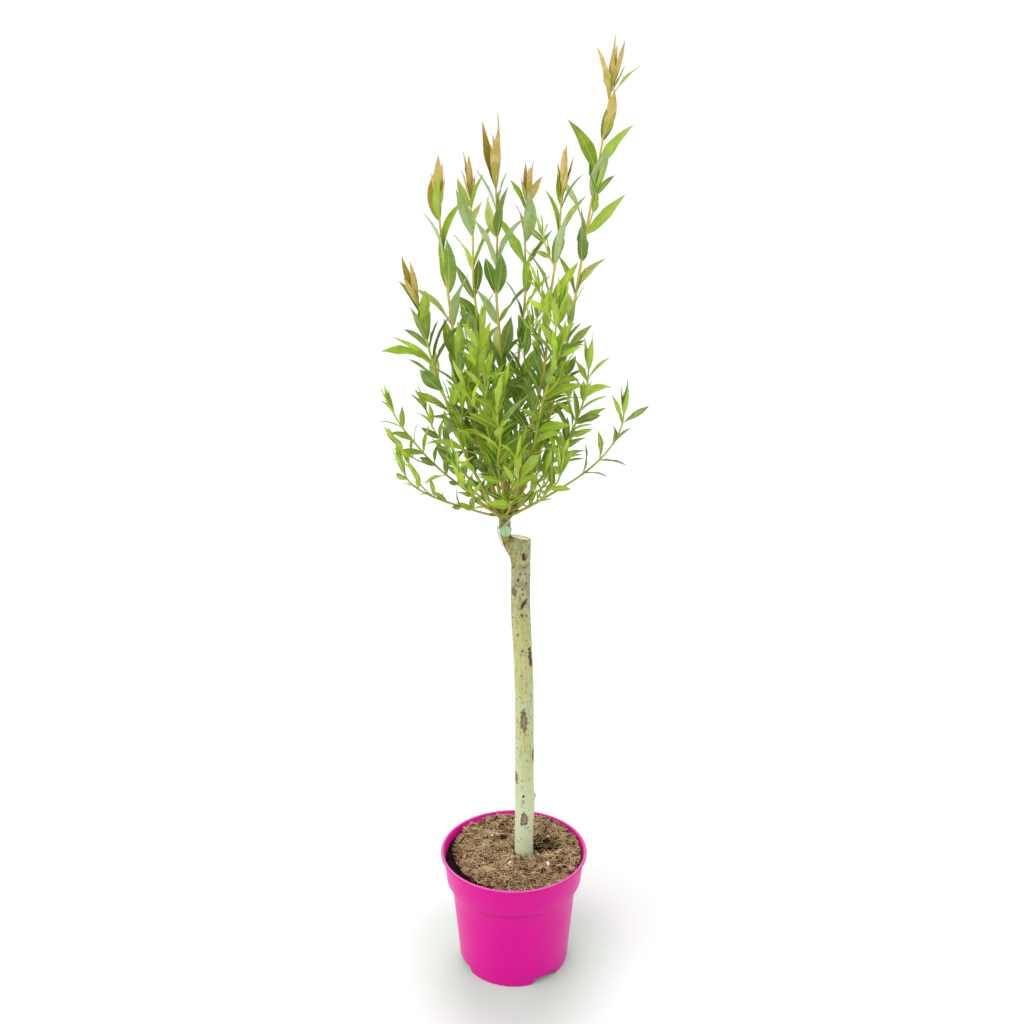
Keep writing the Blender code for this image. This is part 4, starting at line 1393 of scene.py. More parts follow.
def bend_tube(tube: Template, path: Path, low: float, high: float,
              radius: Callable[[float], float]) -> np.ndarray:
    """Bends a unit tube along a stretch of a path.

    Args:
        tube: The unit tube.
        path: The centre line.
        low: The distance along the path where the tube starts.
        high: The distance where it ends.
        radius: The tube's radius at a distance.

    Returns:
        The places of the tube's points.
    """
    levels, which = np.unique(np.round(tube.points[:, 2], 5), return_inverse=True)
    rows = []
    side = Vector((1, 0, 0))
    for level in levels:
        distance = low + (high - low) * level
        point, tangent = path.at(distance)
        side = (side - tangent * side.dot(tangent)).normalized()
        girth = radius(distance)
        rows.append((*point, *(side * girth), *(tangent.cross(side) * girth)))
    rows = np.array(rows)[which]
    return rows[:, 0:3] + rows[:, 3:6] * tube.points[:, 0:1] + rows[:, 6:9] * tube.points[:, 1:2]


def seat(obj: bpy.types.Object, nodes: Sequence[str] = ()) -> None:
    """Seats a finished piece on the frame and the nodes that it stands for.

    Args:
        obj: The piece.
        nodes: The nodes that it stands for.
    """
    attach(obj, BODY)
    if nodes:
        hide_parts(*nodes)
    triangles = sum(len(face.vertices) - 2 for face in obj.data.polygons)
    log.info("%s: %d triangles", obj.name, triangles)


def link_mesh(mesh: bpy.types.Mesh, sharp_over: float) -> bpy.types.Object:
    """Adds a mesh to the scene, smooth apart from edges sharper than an angle in degrees.

    Args:
        mesh: The mesh.
        sharp_over: The angle past which an edge is left sharp.

    Returns:
        The object.
    """
    mesh.shade_smooth()
    mesh.set_sharp_from_angle(angle=math.radians(sharp_over))
    obj = bpy.data.objects.new(mesh.name, mesh)
    bpy.context.scene.collection.objects.link(obj)
    return obj


def make_piece(name: str, bm: Shape, finishes: Sequence[Material],
               sharp_over: float = 40.0) -> bpy.types.Object:
    """Makes a bmesh a piece of the scene.

    Args:
        name: The piece's name.
        bm: Its shape, in place, which is freed.
        finishes: Its materials, in the order of its faces' indices.
        sharp_over: The angle past which an edge is left sharp, in degrees.

    Returns:
        The object.
    """
    mesh = bpy.data.meshes.new(name)
    bm.to_mesh(mesh)
    bm.free()
    for finish in finishes:
        mesh.materials.append(finish)
    return link_mesh(mesh, sharp_over)


class Bundle:
    """Copies of templates, joined in one mesh."""

    def __init__(self, name: str) -> None:
        """Starts an empty bundle with the name of its piece.

        Args:
            name: The piece's name.
        """
        self.name = name
        self.count = 0
        self.parts: list[tuple[np.ndarray, ...]] = []
        self.finishes: list[Material] = []

    def slot_of(self, finish: Material) -> int:
        """The index of a material in this bundle, added where it is new.

        Args:
            finish: The material.

        Returns:
            Its index.
        """
        if finish not in self.finishes:
            self.finishes.append(finish)
        return self.finishes.index(finish)

    def add(self, shape: Template, points: np.ndarray, finishes: Sequence[Material]) -> None:
        """Adds a copy.

        Args:
            shape: The template that is copied.
            points: The places of the copy's points.
            finishes: The material of each of the template's face roles.
        """
        slots = np.array([self.slot_of(finish) for finish in finishes])
        own_map = shape.points[shape.loops, :2]
        self.parts.append((points, shape.loops + self.count, shape.sizes, slots[shape.roles], own_map))
        self.count += len(points)

    def piece(self, sharp_over: float = 60.0) -> bpy.types.Object:
        """The bundle as one object of the scene.

        Args:
            sharp_over: The angle past which an edge is left sharp, in degrees.

        Returns:
            The object.
        """
        points, loops, sizes, slots, own_map = (np.concatenate(part) for part in zip(*self.parts))
        starts = np.concatenate(([0], np.cumsum(sizes)[:-1]))
        mesh = bpy.data.meshes.new(self.name)
        mesh.vertices.add(len(points))
        mesh.vertices.foreach_set("co", points.astype(np.float32).ravel())
        mesh.loops.add(len(loops))
        mesh.loops.foreach_set("vertex_index", loops.astype(np.int32))
        mesh.polygons.add(len(sizes))
        mesh.polygons.foreach_set("loop_start", starts.astype(np.int32))
        mesh.polygons.foreach_set("material_index", slots.astype(np.int32))
        for finish in self.finishes:
            mesh.materials.append(finish)
        mesh.update(calc_edges=True)
        layer = mesh.uv_layers.new(name=BLADE_MAP)
        layer.data.foreach_set("uv", own_map.astype(np.float32).ravel())
        return link_mesh(mesh, sharp_over)


def spun(profile: Sequence[tuple[float, float]], segments: int, hoop: bool = False) -> Shape:
    """A closed solid turned about Z.

    Args:
        profile: The (radius, height) of each corner, from the axis back to the axis or round a hoop.
        segments: How many steps the turn has.
        hoop: Whether the last corner is joined to the first.

    Returns:
        The solid.
    """
    bm = bmesh.new()
    verts = [bm.verts.new((radius, 0.0, height)) for radius, height in profile]
    for low, high in zip(verts, verts[1:] + (verts[:1] if hoop else [])):
        bm.edges.new((low, high))
    bmesh.ops.spin(bm, geom=bm.verts[:] + bm.edges[:], cent=(0, 0, 0), axis=(0, 0, 1),
                   angle=math.tau, steps=segments, use_merge=True)
    bmesh.ops.remove_doubles(bm, verts=bm.verts[:], dist=1e-6)
    bmesh.ops.recalc_face_normals(bm, faces=bm.faces[:])
    return bm


@dataclass
class Pot:
    """The moulded pot: a rolled lip, a deep collar, a tapering body and a foot with four notches."""

    segments: int = 256
    height: float = 0.147
    lip_radius: float = 0.0944
    lip_drop: float = 0.0028
    collar_top_radius: float = 0.0916
    collar_low_radius: float = 0.0870
    collar_low: float = 0.109
    body_top_radius: float = 0.0808
    base_radius: float = 0.0700
    corner: float = 0.0016
    wall: float = 0.0020
    collar_wall: float = 0.0011
    floor_under: float = 0.006
    floor_top: float = 0.008
    ridge: float = 0.00022
    bead_half: float = 0.0019
    notches: tuple[float, ...] = (33.5, 115.0, 213.5, 295.0)
    notch_foot: float = 15.0
    notch_top: float = 10.75
    notch_height: float = 0.0082

    def body_radius(self, height: float) -> float:
        """Outer radius of the plain body at a height."""
        return self.base_radius + (self.body_top_radius - self.base_radius) * height / self.collar_low

    def inner_radius(self, height: float) -> float:
        """Inner radius at a height, in the body or the collar.

        Args:
            height: The height.

        Returns:
            The radius.
        """
        if height < self.collar_low:
            return self.body_radius(height) - self.wall
        share = (height - self.collar_low) / (self.height - self.collar_low)
        outer = self.collar_low_radius + (self.collar_top_radius - self.collar_low_radius) * share
        return outer - self.collar_wall

    def bead(self) -> list[tuple[float, float]]:
        """The rolled lip: a half round over the collar's top, from outside to inside.

        Returns:
            Its corners as (radius, height).
        """
        low = self.height - self.lip_drop
        centre_radius = (self.lip_radius + self.collar_top_radius - self.collar_wall) / 2
        half_wide = self.lip_radius - centre_radius
        points = [(self.collar_top_radius, low), (self.lip_radius - 0.0005, low + 0.0002)]
        for step in range(7):
            angle = math.radians(-10 + 200 * step / 6)
            points.append((centre_radius + half_wide * math.cos(angle),
                           self.height - self.bead_half + self.bead_half * math.sin(angle)))
        return points

    def profile(self) -> list[tuple[float, float]]:
        """The pot's wall and floor, outside first.

        Returns:
            Its corners as (radius, height).
        """
        corner, wall, foot, low = self.corner, self.wall, self.base_radius, self.collar_low
        shelf = low + wall
        line = self.notch_height + 0.0012
        ridge = (line, line + 0.0006)
        heights = (0.0030, self.notch_height, line - 0.0003, *ridge, line + 0.0009,
                   0.03, 0.055, 0.08, low - 0.002)
        points = [(0.0, self.floor_under), (foot - wall, self.floor_under), (foot - wall, 0.0),
                  (foot - corner * 0.5, 0.0), (foot - 0.0002, corner * 0.6)]
        points += [(self.body_radius(z) + (self.ridge if z in ridge else 0.0), z) for z in heights]
        points += [(self.body_top_radius + 0.0006, low - 0.0003),
                   (self.collar_low_radius - corner, low - 0.0001),
                   (self.collar_low_radius - corner * 0.35, low + corner * 0.3),
                   (self.collar_low_radius, low + corner), (self.collar_low_radius + 0.0019, low + 0.019)]
        points += self.bead()
        points += [(self.inner_radius(z), z) for z in (self.height - self.lip_drop, shelf)]
        points += [(self.body_top_radius - wall, shelf - wall * 0.3),
                   (self.inner_radius(self.floor_top), self.floor_top), (0.0, self.floor_top)]
        return points

    def notch_share(self, bearing: float) -> float:
        """How far the foot is cut away at a bearing: 0 between notches, 1 in one.

        Args:
            bearing: The bearing from the front towards +X, in degrees.

        Returns:
            The share.
        """
        away = min(abs(degrees_between(bearing, notch)) for notch in self.notches)
        share = (self.notch_foot - away) / (self.notch_foot - self.notch_top)
        return min(1.0, max(0.0, share))

    def build(self) -> None:
        """Turns the pot and lifts its foot's edge at the notches."""
        bm = spun(self.profile(), self.segments)
        for vert in bm.verts:
            radius = vert.co.xy.length
            if vert.co.z < self.notch_height and radius > self.base_radius - self.wall * 1.5:
                bearing = math.degrees(math.atan2(vert.co.x, -vert.co.y))
                vert.co.z += (self.notch_height - 0.0001 - vert.co.z) * self.notch_share(bearing)
        seat(make_piece("pot_body", bm, [PotPlastic().build()], 32), ["pot"])


@dataclass(frozen=True)
class Hollow:
    """A hollow or a lump in the potting mix; the deepest hollows take near-black soil, partly painted shade.
    """

    x: float
    y: float
    radius: float
    depth: float


@dataclass(frozen=True)
class FibreLayer:
    """One layer of coir: how many fibres, and the ranges of their lift off the bed, length and girth."""

    count: int
    lift: tuple[float, float]
    length: tuple[float, float]
    girth: tuple[float, float]


@dataclass
class PottingMix:
    """The root ball of coir: a crumbly bed, thousands of fibres, a few straws and chips of wood."""

    centre: Vector = field(default_factory=lambda: Vector((0.0037, 0.0025, 0.0)))
    top: float = 0.1401
    radius: float = 0.0872
    rise_back: float = 0.0058
    rise_right: float = 0.0020
    wall_radius: float = 0.0884
    moat: float = 0.0036
    sunk: float = 0.0016
    open_hollow: float = 0.0048
    edge_slope: float = 0.0016
    segments: int = 220
    under: FibreLayer = FibreLayer(2000, (-0.0014, 0.0), (0.005, 0.016), (0.00020, 0.00048))
    over: FibreLayer = FibreLayer(5000, (-0.0002, 0.0026), (0.004, 0.014), (0.00015, 0.00036))
    thinned_in_hollows: float = 0.72
    thin_over: float = 0.27
    loose_chips: int = 26
    loose_spread: float = 0.078
    loose_length: tuple[float, float] = (0.0014, 0.0028)
    straw_half: float = 0.00042
    trunk_room: tuple[float, float, float] = (0.0130, 0.0045, 0.0135)
    bites: tuple[tuple[float, float, float], ...] = ((-150.0, 30.0, 0.0085), (-112.0, 26.0, 0.0050))
    hollows: tuple[Hollow, ...] = (
        Hollow(0.034, 0.019, 0.014, 0.0130), Hollow(0.050, 0.013, 0.011, 0.0100),
        Hollow(0.031, 0.004, 0.008, 0.0080), Hollow(-0.040, 0.060, 0.009, 0.0050),
        Hollow(-0.014, 0.037, 0.009, 0.0060), Hollow(-0.008, 0.066, 0.009, 0.0050),
        Hollow(-0.030, -0.062, 0.011, 0.0055), Hollow(0.030, -0.030, 0.016, -0.0030),
        Hollow(-0.045, 0.000, 0.022, -0.0030), Hollow(0.062, -0.010, 0.018, -0.0025),
        Hollow(0.000, -0.045, 0.018, -0.0020), Hollow(0.030, 0.060, 0.022, -0.0020),
        Hollow(-0.060, -0.030, 0.010, 0.0030), Hollow(0.020, -0.048, 0.006, 0.0045),
        Hollow(-0.026, -0.026, 0.006, 0.0045), Hollow(0.056, -0.036, 0.007, 0.0045),
    )
    chips: tuple[tuple[float, float, float], ...] = (
        (-0.0296, 0.0343, 0.0062), (-0.0054, -0.0281, 0.0080), (0.0430, -0.0294, 0.0086),
        (-0.0177, 0.0700, 0.0060), (0.0463, 0.0343, 0.0056), (0.0120, 0.0500, 0.0045),
    )
    straws: tuple[tuple[float, float, float, float], ...] = (
        (0.0404, 0.0103, 0.0595, 0.0255), (0.0660, -0.0014, 0.0740, -0.0280),
        (-0.0501, 0.0532, -0.0373, 0.0315), (-0.0620, -0.0200, -0.0350, -0.0300),
        (0.0100, -0.0600, 0.0330, -0.0520), (-0.0200, 0.0120, -0.0430, 0.0260),
    )

    def height_at(self, x: float, y: float) -> float:
        """Height of the bed at a place, in the ball or in the dark gap between it and the wall.

        Args:
            x: The place along X.
            y: The place along Y.

        Returns:
            The height.
        """
        share = Vector((x - self.centre.x, y - self.centre.y)).length / self.radius
        rough = noise.fractal(Vector((x, y, 0)) * 55, 0.9, 2.1, 4) * 0.0028
        height = self.top + rough + share * (self.rise_back * y + self.rise_right * x) / self.radius
        height -= self.hollow_depth(x, y)
        fall = min(60.0, max(-60.0, self.past_edge(x, y) / self.edge_slope * 2))
        return height - self.moat / (1 + math.exp(-fall))

    def hollow_depth(self, x: float, y: float) -> float:
        """How far the hollows lower the bed at a place."""
        return sum(hollow.depth * bell(Vector((x - hollow.x, y - hollow.y)).length / hollow.radius)
                   for hollow in self.hollows)

    def edge_radius(self, bearing: float) -> float:
        """Outer radius of the ragged ball at a bearing in radians.

        Args:
            bearing: The bearing round the ball's middle from +X.

        Returns:
            The radius.
        """
        wobble = noise.noise(Vector((math.cos(bearing) * 2.6, math.sin(bearing) * 2.6, 3.0)))
        fine = noise.noise(Vector((math.cos(bearing) * 11, math.sin(bearing) * 11, 5.0)))
        bite = sum(depth * bell(degrees_between(math.degrees(bearing), toward) / span)
                   for toward, span, depth in self.bites)
        return self.radius * (1 + 0.012 * wobble + 0.012 * fine) - bite

    def past_edge(self, x: float, y: float) -> float:
        """How far a place lies outside the ball's ragged edge, less than 0 inside it."""
        away = Vector((x - self.centre.x, y - self.centre.y))
        return away.length - self.edge_radius(math.atan2(away.y, away.x))

    def bed(self) -> Shape:
        """The crumbly body of the ball, and the near-black soil in the gap round it and the deepest hollows,
        partly the soil's own dark and partly painted shade.

        Returns:
            The bed's shape.
        """
        inner, rim = 0.80, 0.20
        coarse = [self.wall_radius * inner * step / 36 for step in range(36)]
        fine = [self.wall_radius * (inner + rim * step / 20) for step in range(21)]
        profile = [(0.0, 0.0085), (0.064, 0.0085), (0.0735, 0.10), (self.wall_radius - 0.0015, 0.122)]
        profile += [(radius, self.top) for radius in reversed(coarse + fine)]
        bm = spun(profile, self.segments)
        for vert in bm.verts:
            if vert.co.z > self.top - 1e-4:
                vert.co.z = self.height_at(vert.co.x, vert.co.y) - self.sunk
        for face in bm.faces:
            # Faces past the ball's edge and in the deepest hollows take the near-black soil: partly the
            # soil's own dark, partly painted shade in these recesses
            spot = face.calc_center_median()
            deepest = self.open_hollow + 0.0030 * noise.noise(spot * 170)
            soil = (self.past_edge(spot.x, spot.y) > -self.edge_slope * 0.3
                    or self.hollow_depth(spot.x, spot.y) > deepest)
            face.material_index = 1 if soil else 0
        return bm

    def fibre_line(self, chance: random.Random, start: Vector, heading: float, length: float) -> Path:
        """A curling fibre over the bed from a start.

        Args:
            chance: The random draws.
            start: Where the fibre starts.
            heading: Which way it sets out, in radians.
            length: Its length.

        Returns:
            Its centre line.
        """
        points = [start]
        turn = chance.gauss(0, 0.75)
        climb = chance.uniform(-0.25, 0.5)
        for step in range(5):
            heading += turn + chance.gauss(0, 0.3)
            ahead = Vector((math.cos(heading), math.sin(heading), climb * (0.6 - step / 4)))
            points.append(points[-1] + ahead.normalized() * length / 5)
        for point in points:
            point.z = max(point.z, self.height_at(point.x, point.y) - 0.0014)
        return Path(points)

    def in_ball(self, point: Vector) -> bool:
        """Whether a point lies over the ball, clear of the trunk.

        Args:
            point: The point.

        Returns:
            Whether it does.
        """
        x, y, room = self.trunk_room
        clear = (point.xy - Vector((x, y))).length >= room and point.xy.length < self.wall_radius - 0.0008
        return clear and self.past_edge(point.x, point.y) < 0

    def spread_fibres(self) -> None:
        """Strews the coir over the bed: a dark layer under a pale one."""
        under = [
            Fibre("coir_dark", paint(58, 40, 26), paint(92, 66, 42)).build(),
            Fibre("coir_brown", paint(132, 100, 68), paint(164, 130, 92)).build(),
        ]
        over = [
            Fibre("coir_tan", paint(196, 164, 122), paint(216, 188, 146)).build(),
            Fibre("coir_umber", paint(160, 126, 88), paint(184, 150, 110)).build(),
            Fibre("coir_straw", paint(230, 206, 164), paint(244, 226, 190)).build(),
        ]
        tube = unit_tube(3, 4)
        bundle = Bundle("coir_fibres")
        chance = random.Random("coir")
        for layer in [self.under] * self.under.count + [self.over] * self.over.count:
            low = layer is self.under
            angle = chance.uniform(0, math.tau)
            away = self.edge_radius(angle) * math.sqrt(chance.random())
            x = self.centre.x + away * math.cos(angle)
            y = self.centre.y + away * math.sin(angle)
            start = Vector((x, y, self.height_at(x, y) + chance.uniform(*layer.lift)))
            length = chance.uniform(*layer.length)
            line = self.fibre_line(chance, start, chance.uniform(0, math.tau), length)
            girth = chance.uniform(*layer.girth)
            if not all(self.in_ball(point) for point in line.points):
                continue
            hollow = any(self.hollow_depth(point.x, point.y) > self.open_hollow for point in line.points)
            if hollow and chance.random() < self.thinned_in_hollows:
                continue
            if not low and noise.noise(Vector((x, y, 0.3)) * 130) > self.thin_over:
                continue
            points = bend_tube(tube, line, 0.0, line.length, lambda _: girth)
            clump = noise.noise(Vector((x, y, 0.7)) * 100)
            pale = (5, max(0.5, 4 - 9 * clump), max(0.5, 3 + 9 * clump))
            shade = chance.choices(under, (3, 4))[0] if low else chance.choices(over, pale)[0]
            bundle.add(tube, points, [shade])
        seat(bundle.piece())

    def lay_straws(self) -> None:
        """Lays the long thin straws."""
        tube = unit_tube(5, 8)
        bundle = Bundle("mix_straws")
        finish = Fibre("dry_straw", paint(188, 158, 108), paint(214, 190, 146)).build()
        for index, (x0, y0, x1, y1) in enumerate(self.straws):
            chance = random.Random(f"straw {index}")
            points = []
            for step in range(9):
                share = step / 8
                x, y = x0 + (x1 - x0) * share, y0 + (y1 - y0) * share
                bow = 0.0016 * math.sin(math.pi * share) * chance.uniform(0.8, 1.2)
                points.append(Vector((x + bow, y, self.height_at(x, y) + 0.0014 + bow)))
            line = Path(points)
            bundle.add(tube, bend_tube(tube, line, 0.0, line.length, lambda _: self.straw_half), [finish])
        seat(bundle.piece())

    def lay_chips(self) -> None:
        """Lays the flat chips of pale wood, and small crumbs of the same wood."""
        bm = bmesh.new()
        chance = random.Random("chips")
        spots = list(self.chips)
        for _ in range(self.loose_chips):
            angle, away = chance.uniform(0, math.tau), self.loose_spread * math.sqrt(chance.random())
            x, y = self.centre.x + away * math.cos(angle), self.centre.y + away * math.sin(angle)
            spots.append((x, y, chance.uniform(*self.loose_length)))
        for x, y, length in spots:
            if not self.in_ball(Vector((x, y, 0))):
                continue
            made = bmesh.ops.create_icosphere(bm, subdivisions=2, radius=0.5)["verts"]
            size = Matrix.Diagonal((length, length * chance.uniform(0.45, 0.6), length * 0.3, 1))
            turn = Matrix.Rotation(chance.uniform(0, math.tau), 4, "Z")
            lean = Matrix.Rotation(chance.uniform(-0.5, 0.5), 4, "X")
            spot = Matrix.Translation((x, y, self.height_at(x, y) + length * 0.12 + 0.0012))
            for vert in made:
                vert.co *= 1 + 0.28 * noise.noise(vert.co * 3 + Vector((x, y, 0)) * 900)
            bmesh.ops.transform(bm, matrix=spot @ (turn @ lean) @ size, verts=made)
        finish = Fibre("wood_chip", paint(226, 204, 166), paint(248, 236, 212)).build()
        seat(make_piece("wood_chips", bm, [finish], 50))

    def build(self) -> None:
        """Makes the bed and strews it."""
        # The second finish is near-black soil, partly painted shade in the gap and the deepest hollows
        finishes = [Crumbs().build(), Fibre("dark_soil_and_painted_shade", paint(12, 9, 7), paint(34, 24, 17)).build()]
        seat(make_piece("coir_bed", self.bed(), finishes, 60), ["potting_mix"])
        self.spread_fibres()
        self.lay_straws()
        self.lay_chips()


@dataclass
class Trunk:
    """The bare trunk: bark with relief, pores and scars, and the slanting saw cut at its top."""

    sides: int = 112
    cuts: int = 520
    swell_height: float = 0.5480
    swell: float = 0.0098
    swell_bearing: float = -84.0
    swell_span: float = 46.0
    swell_below: float = 0.0128
    swell_above: float = 0.0062
    knot_height: float = 0.2060
    knot: float = 0.0014
    knot_bearing: float = 78.0
    knot_span: float = 50.0
    knot_reach: float = 0.022
    sawn_rings: int = 3
    ring_inset: float = 0.0022
    lip_wide: float = 0.0009
    lip_rise: float = 0.0002
    saw_wide: float = 0.0005
    saw_depth: float = 0.0005
    saw_marks: float = 0.0003

    FOOT = Vector((0.0130, 0.0045, 0.1391))
    TOP = Vector((0.0088, 0.0010, 0.5570))
    BOW = 0.0022
    DIP = 0.0028
    DIP_SHARE = 0.79
    DIP_SPAN = 0.14
    FOOT_RADIUS = 0.0121
    MID_RADIUS = 0.0117
    TOP_RADIUS = 0.0119
    FLARE_HEIGHT = 0.020
    CUT_SLOPE = 0.20
    SUNK = 0.006

    @classmethod
    def centre_at(cls, share: float) -> Vector:
        """The trunk's axis at a share of its height."""
        dip = cls.DIP * bell((share - cls.DIP_SHARE) / cls.DIP_SPAN)
        return cls.FOOT.lerp(cls.TOP, share) + Vector((cls.BOW * math.sin(math.pi * share) - dip, 0, 0))

    @classmethod
    def radius_at(cls, share: float) -> float:
        """The trunk's plain radius at a share of its height.

        Args:
            share: The share of the height.

        Returns:
            The radius.
        """
        height = share * (cls.TOP.z - cls.FOOT.z)
        extra = (cls.FOOT_RADIUS - cls.MID_RADIUS) / 2
        flare = extra * math.exp(-height / cls.FLARE_HEIGHT)
        swell = (cls.TOP_RADIUS - cls.MID_RADIUS) * share ** 3
        return cls.MID_RADIUS + flare + extra * (1 - share) + swell

    @classmethod
    def surface_point(cls, bearing: float, height: float) -> Vector:
        """A point on the plain bark, at a bearing counted from the front towards +X.

        Args:
            bearing: The bearing in degrees.
            height: The height.

        Returns:
            The point.
        """
        share = (height - cls.FOOT.z) / (cls.TOP.z - cls.FOOT.z)
        turn = math.radians(bearing)
        out = Vector((math.sin(turn), -math.cos(turn), 0))
        return cls.centre_at(share) + out * cls.radius_at(share)

    def relief(self, bearing: float, height: float) -> float:
        """How far the bark stands out from its plain radius, at a bearing in degrees and a height.

        Args:
            bearing: The bearing from the front towards +X.
            height: The height.

        Returns:
            The distance out from the plain bark.
        """
        turn = math.radians(bearing)
        spot = Vector((math.sin(turn) * 0.012, -math.cos(turn) * 0.012, height))
        out = 0.00035 * noise.noise(Vector((spot.x * 60, spot.y * 60, spot.z * 22)))
        out += 0.00016 * noise.noise(spot * 320)
        reach = self.swell_above if height > self.swell_height else self.swell_below
        rise = bell((height - self.swell_height) / reach)
        out += self.swell * rise * bell(degrees_between(bearing, self.swell_bearing) / self.swell_span)
        rise = bell((height - self.knot_height) / self.knot_reach)
        out += self.knot * rise * bell(degrees_between(bearing, self.knot_bearing) / self.knot_span)
        for scar in SCARS:
            across = math.radians(degrees_between(bearing, scar.bearing)) * self.MID_RADIUS
            up = height - scar.height
            if abs(up) > scar.half_tall * 2.5 or abs(across) > scar.half_wide * 3:
                continue
            tilt = math.radians(scar.tilt)
            wide = (across * math.cos(tilt) + up * math.sin(tilt)) / scar.half_wide
            tall = (up * math.cos(tilt) - across * math.sin(tilt)) / scar.half_tall
            reach = math.hypot(wide, tall)
            out -= scar.depth * math.exp(-(reach / 0.85) ** 4)
            out += 0.45 * abs(scar.depth) * bell((reach - 1.15) / 0.25)
        return out

    def build(self) -> None:
        """Shapes the bark and the cut."""
        bm = ringed_tube(self.sides, self.cuts)
        top_face = max(bm.faces, key=lambda face: face.calc_center_median().z)
        tall = self.TOP.z - self.FOOT.z
        low = -self.SUNK / tall
        for vert in bm.verts:
            share = low + (1 - low) * (vert.co.z + 0.5)
            bearing = math.degrees(math.atan2(vert.co.x, -vert.co.y))
            radius = self.radius_at(max(0.0, share)) + self.relief(bearing, self.FOOT.z + share * tall)
            place = Vector((vert.co.x * radius, vert.co.y * radius, 0)) + self.centre_at(share)
            drop = (place.x - self.TOP.x) * self.CUT_SLOPE * max(0.0, share) ** 24
            vert.co = place - Vector((0, 0, drop))
        self.dress_cut(bm, top_face)
        finishes = [PaleBark().build(), SawnWood().build()]
        seat(make_piece("trunk_bark", bm, finishes, 50), ["trunk"])

    def dress_cut(self, bm: Shape, top_face: bmesh.types.BMFace) -> None:
        """Rounds the bark over the cut's edge and roughens the sawn face.

        Args:
            bm: The trunk's shape.
            top_face: The face at its top.
        """
        bmesh.ops.inset_region(bm, faces=[top_face], thickness=self.lip_wide, depth=0.0)
        for vert in top_face.verts:
            vert.co.z += self.lip_rise
        bmesh.ops.inset_region(bm, faces=[top_face], thickness=self.saw_wide, depth=0.0)
        for vert in top_face.verts:
            vert.co.z -= self.saw_depth + self.saw_marks * noise.noise(vert.co * 700)
        sawn = [top_face]
        for _ in range(self.sawn_rings):
            made = bmesh.ops.inset_region(bm, faces=[top_face], thickness=self.ring_inset, depth=0.0)
            sawn += made["faces"]
            for vert in top_face.verts:
                vert.co.z += self.saw_marks * noise.noise(vert.co * 500)
        for face in sawn:
            face.material_index = 1
        bmesh.ops.poke(bm, faces=[top_face])


@dataclass
class Head:
    """The side stub and the round knuckle at its top, with the swollen feet of the shoots."""

    collar_root: Vector = field(default_factory=lambda: Vector((0.0060, 0.0006, 0.5330)))
    collar_end: Vector = field(default_factory=lambda: Vector((-0.0070, -0.0006, 0.5500)))
    bend: Vector = field(default_factory=lambda: Vector((-0.0100, -0.0014, 0.5600)))
    collar_radius: float = 0.0058
    stub_radius: float = 0.0064
    neck_height: float = 0.5700
    highest: float = 80.0
    lowest: float = -50.0
    round_steps: int = 10
    swollen_foot: float = 0.0075
    foot_swell: float = 1.75
    foot_slope: float = 85.0

    def line(self) -> tuple[Path, list[float]]:
        """The stub's centre line, and its radius at each of the line's points.

        Returns:
            The line and the radii.
        """
        neck = Vector((KNUCKLE_CENTRE.x, KNUCKLE_CENTRE.y, self.neck_height))
        collar_middle = self.collar_root.lerp(self.collar_end, 0.5)
        points = [self.collar_root, collar_middle, self.collar_end, self.bend, neck]
        radii = [self.collar_radius * 1.1, self.collar_radius * 1.08, self.collar_radius, self.stub_radius,
                 KNUCKLE_RADIUS * math.cos(math.radians(self.lowest))]
        for step in range(self.round_steps + 1):
            angle = math.radians(self.lowest + (self.highest - self.lowest) * step / self.round_steps)
            points.append(KNUCKLE_CENTRE + Vector((0, 0, KNUCKLE_RADIUS * math.sin(angle))))
            radii.append(KNUCKLE_RADIUS * math.cos(angle))
        return Path(points), radii

    def build(self, shoots: list[tuple[Shoot, Path]]) -> None:
        """Makes the stub and knuckle, and a swelling round each shoot's foot.

        Args:
            shoots: Every shoot with its centre line.
        """
        path, radii = self.line()
        tube = unit_tube(48, 90)
        places = bend_tube(tube, path, 0.0, path.length,
                           lambda distance: float(np.interp(distance, path.lengths, radii)))
        for index, place in enumerate(places):
            spot = Vector(place)
            centre = KNUCKLE_CENTRE if spot.z > self.bend.z else Vector((self.bend.x, self.bend.y, spot.z))
            out = (spot - centre).normalized()
            bump = 0.0006 * noise.fractal(spot * 260, 0.8, 2.0, 3) + 0.0005 * noise.noise(spot * 90)
            places[index] = spot + out * bump
        finish = HeadBark().build()
        bundle = Bundle("head_knuckle")
        bundle.add(tube, places, [finish])
        ring = unit_tube(12, 5)
        for shoot, stem in shoots:
            points = bend_tube(ring, stem, 0.0, self.swollen_foot, lambda distance: shoot.girth * (
                self.foot_swell - self.foot_slope * min(distance, self.swollen_foot)))
            bundle.add(ring, points, [finish])
        seat(bundle.piece(50), ["head_stub"])


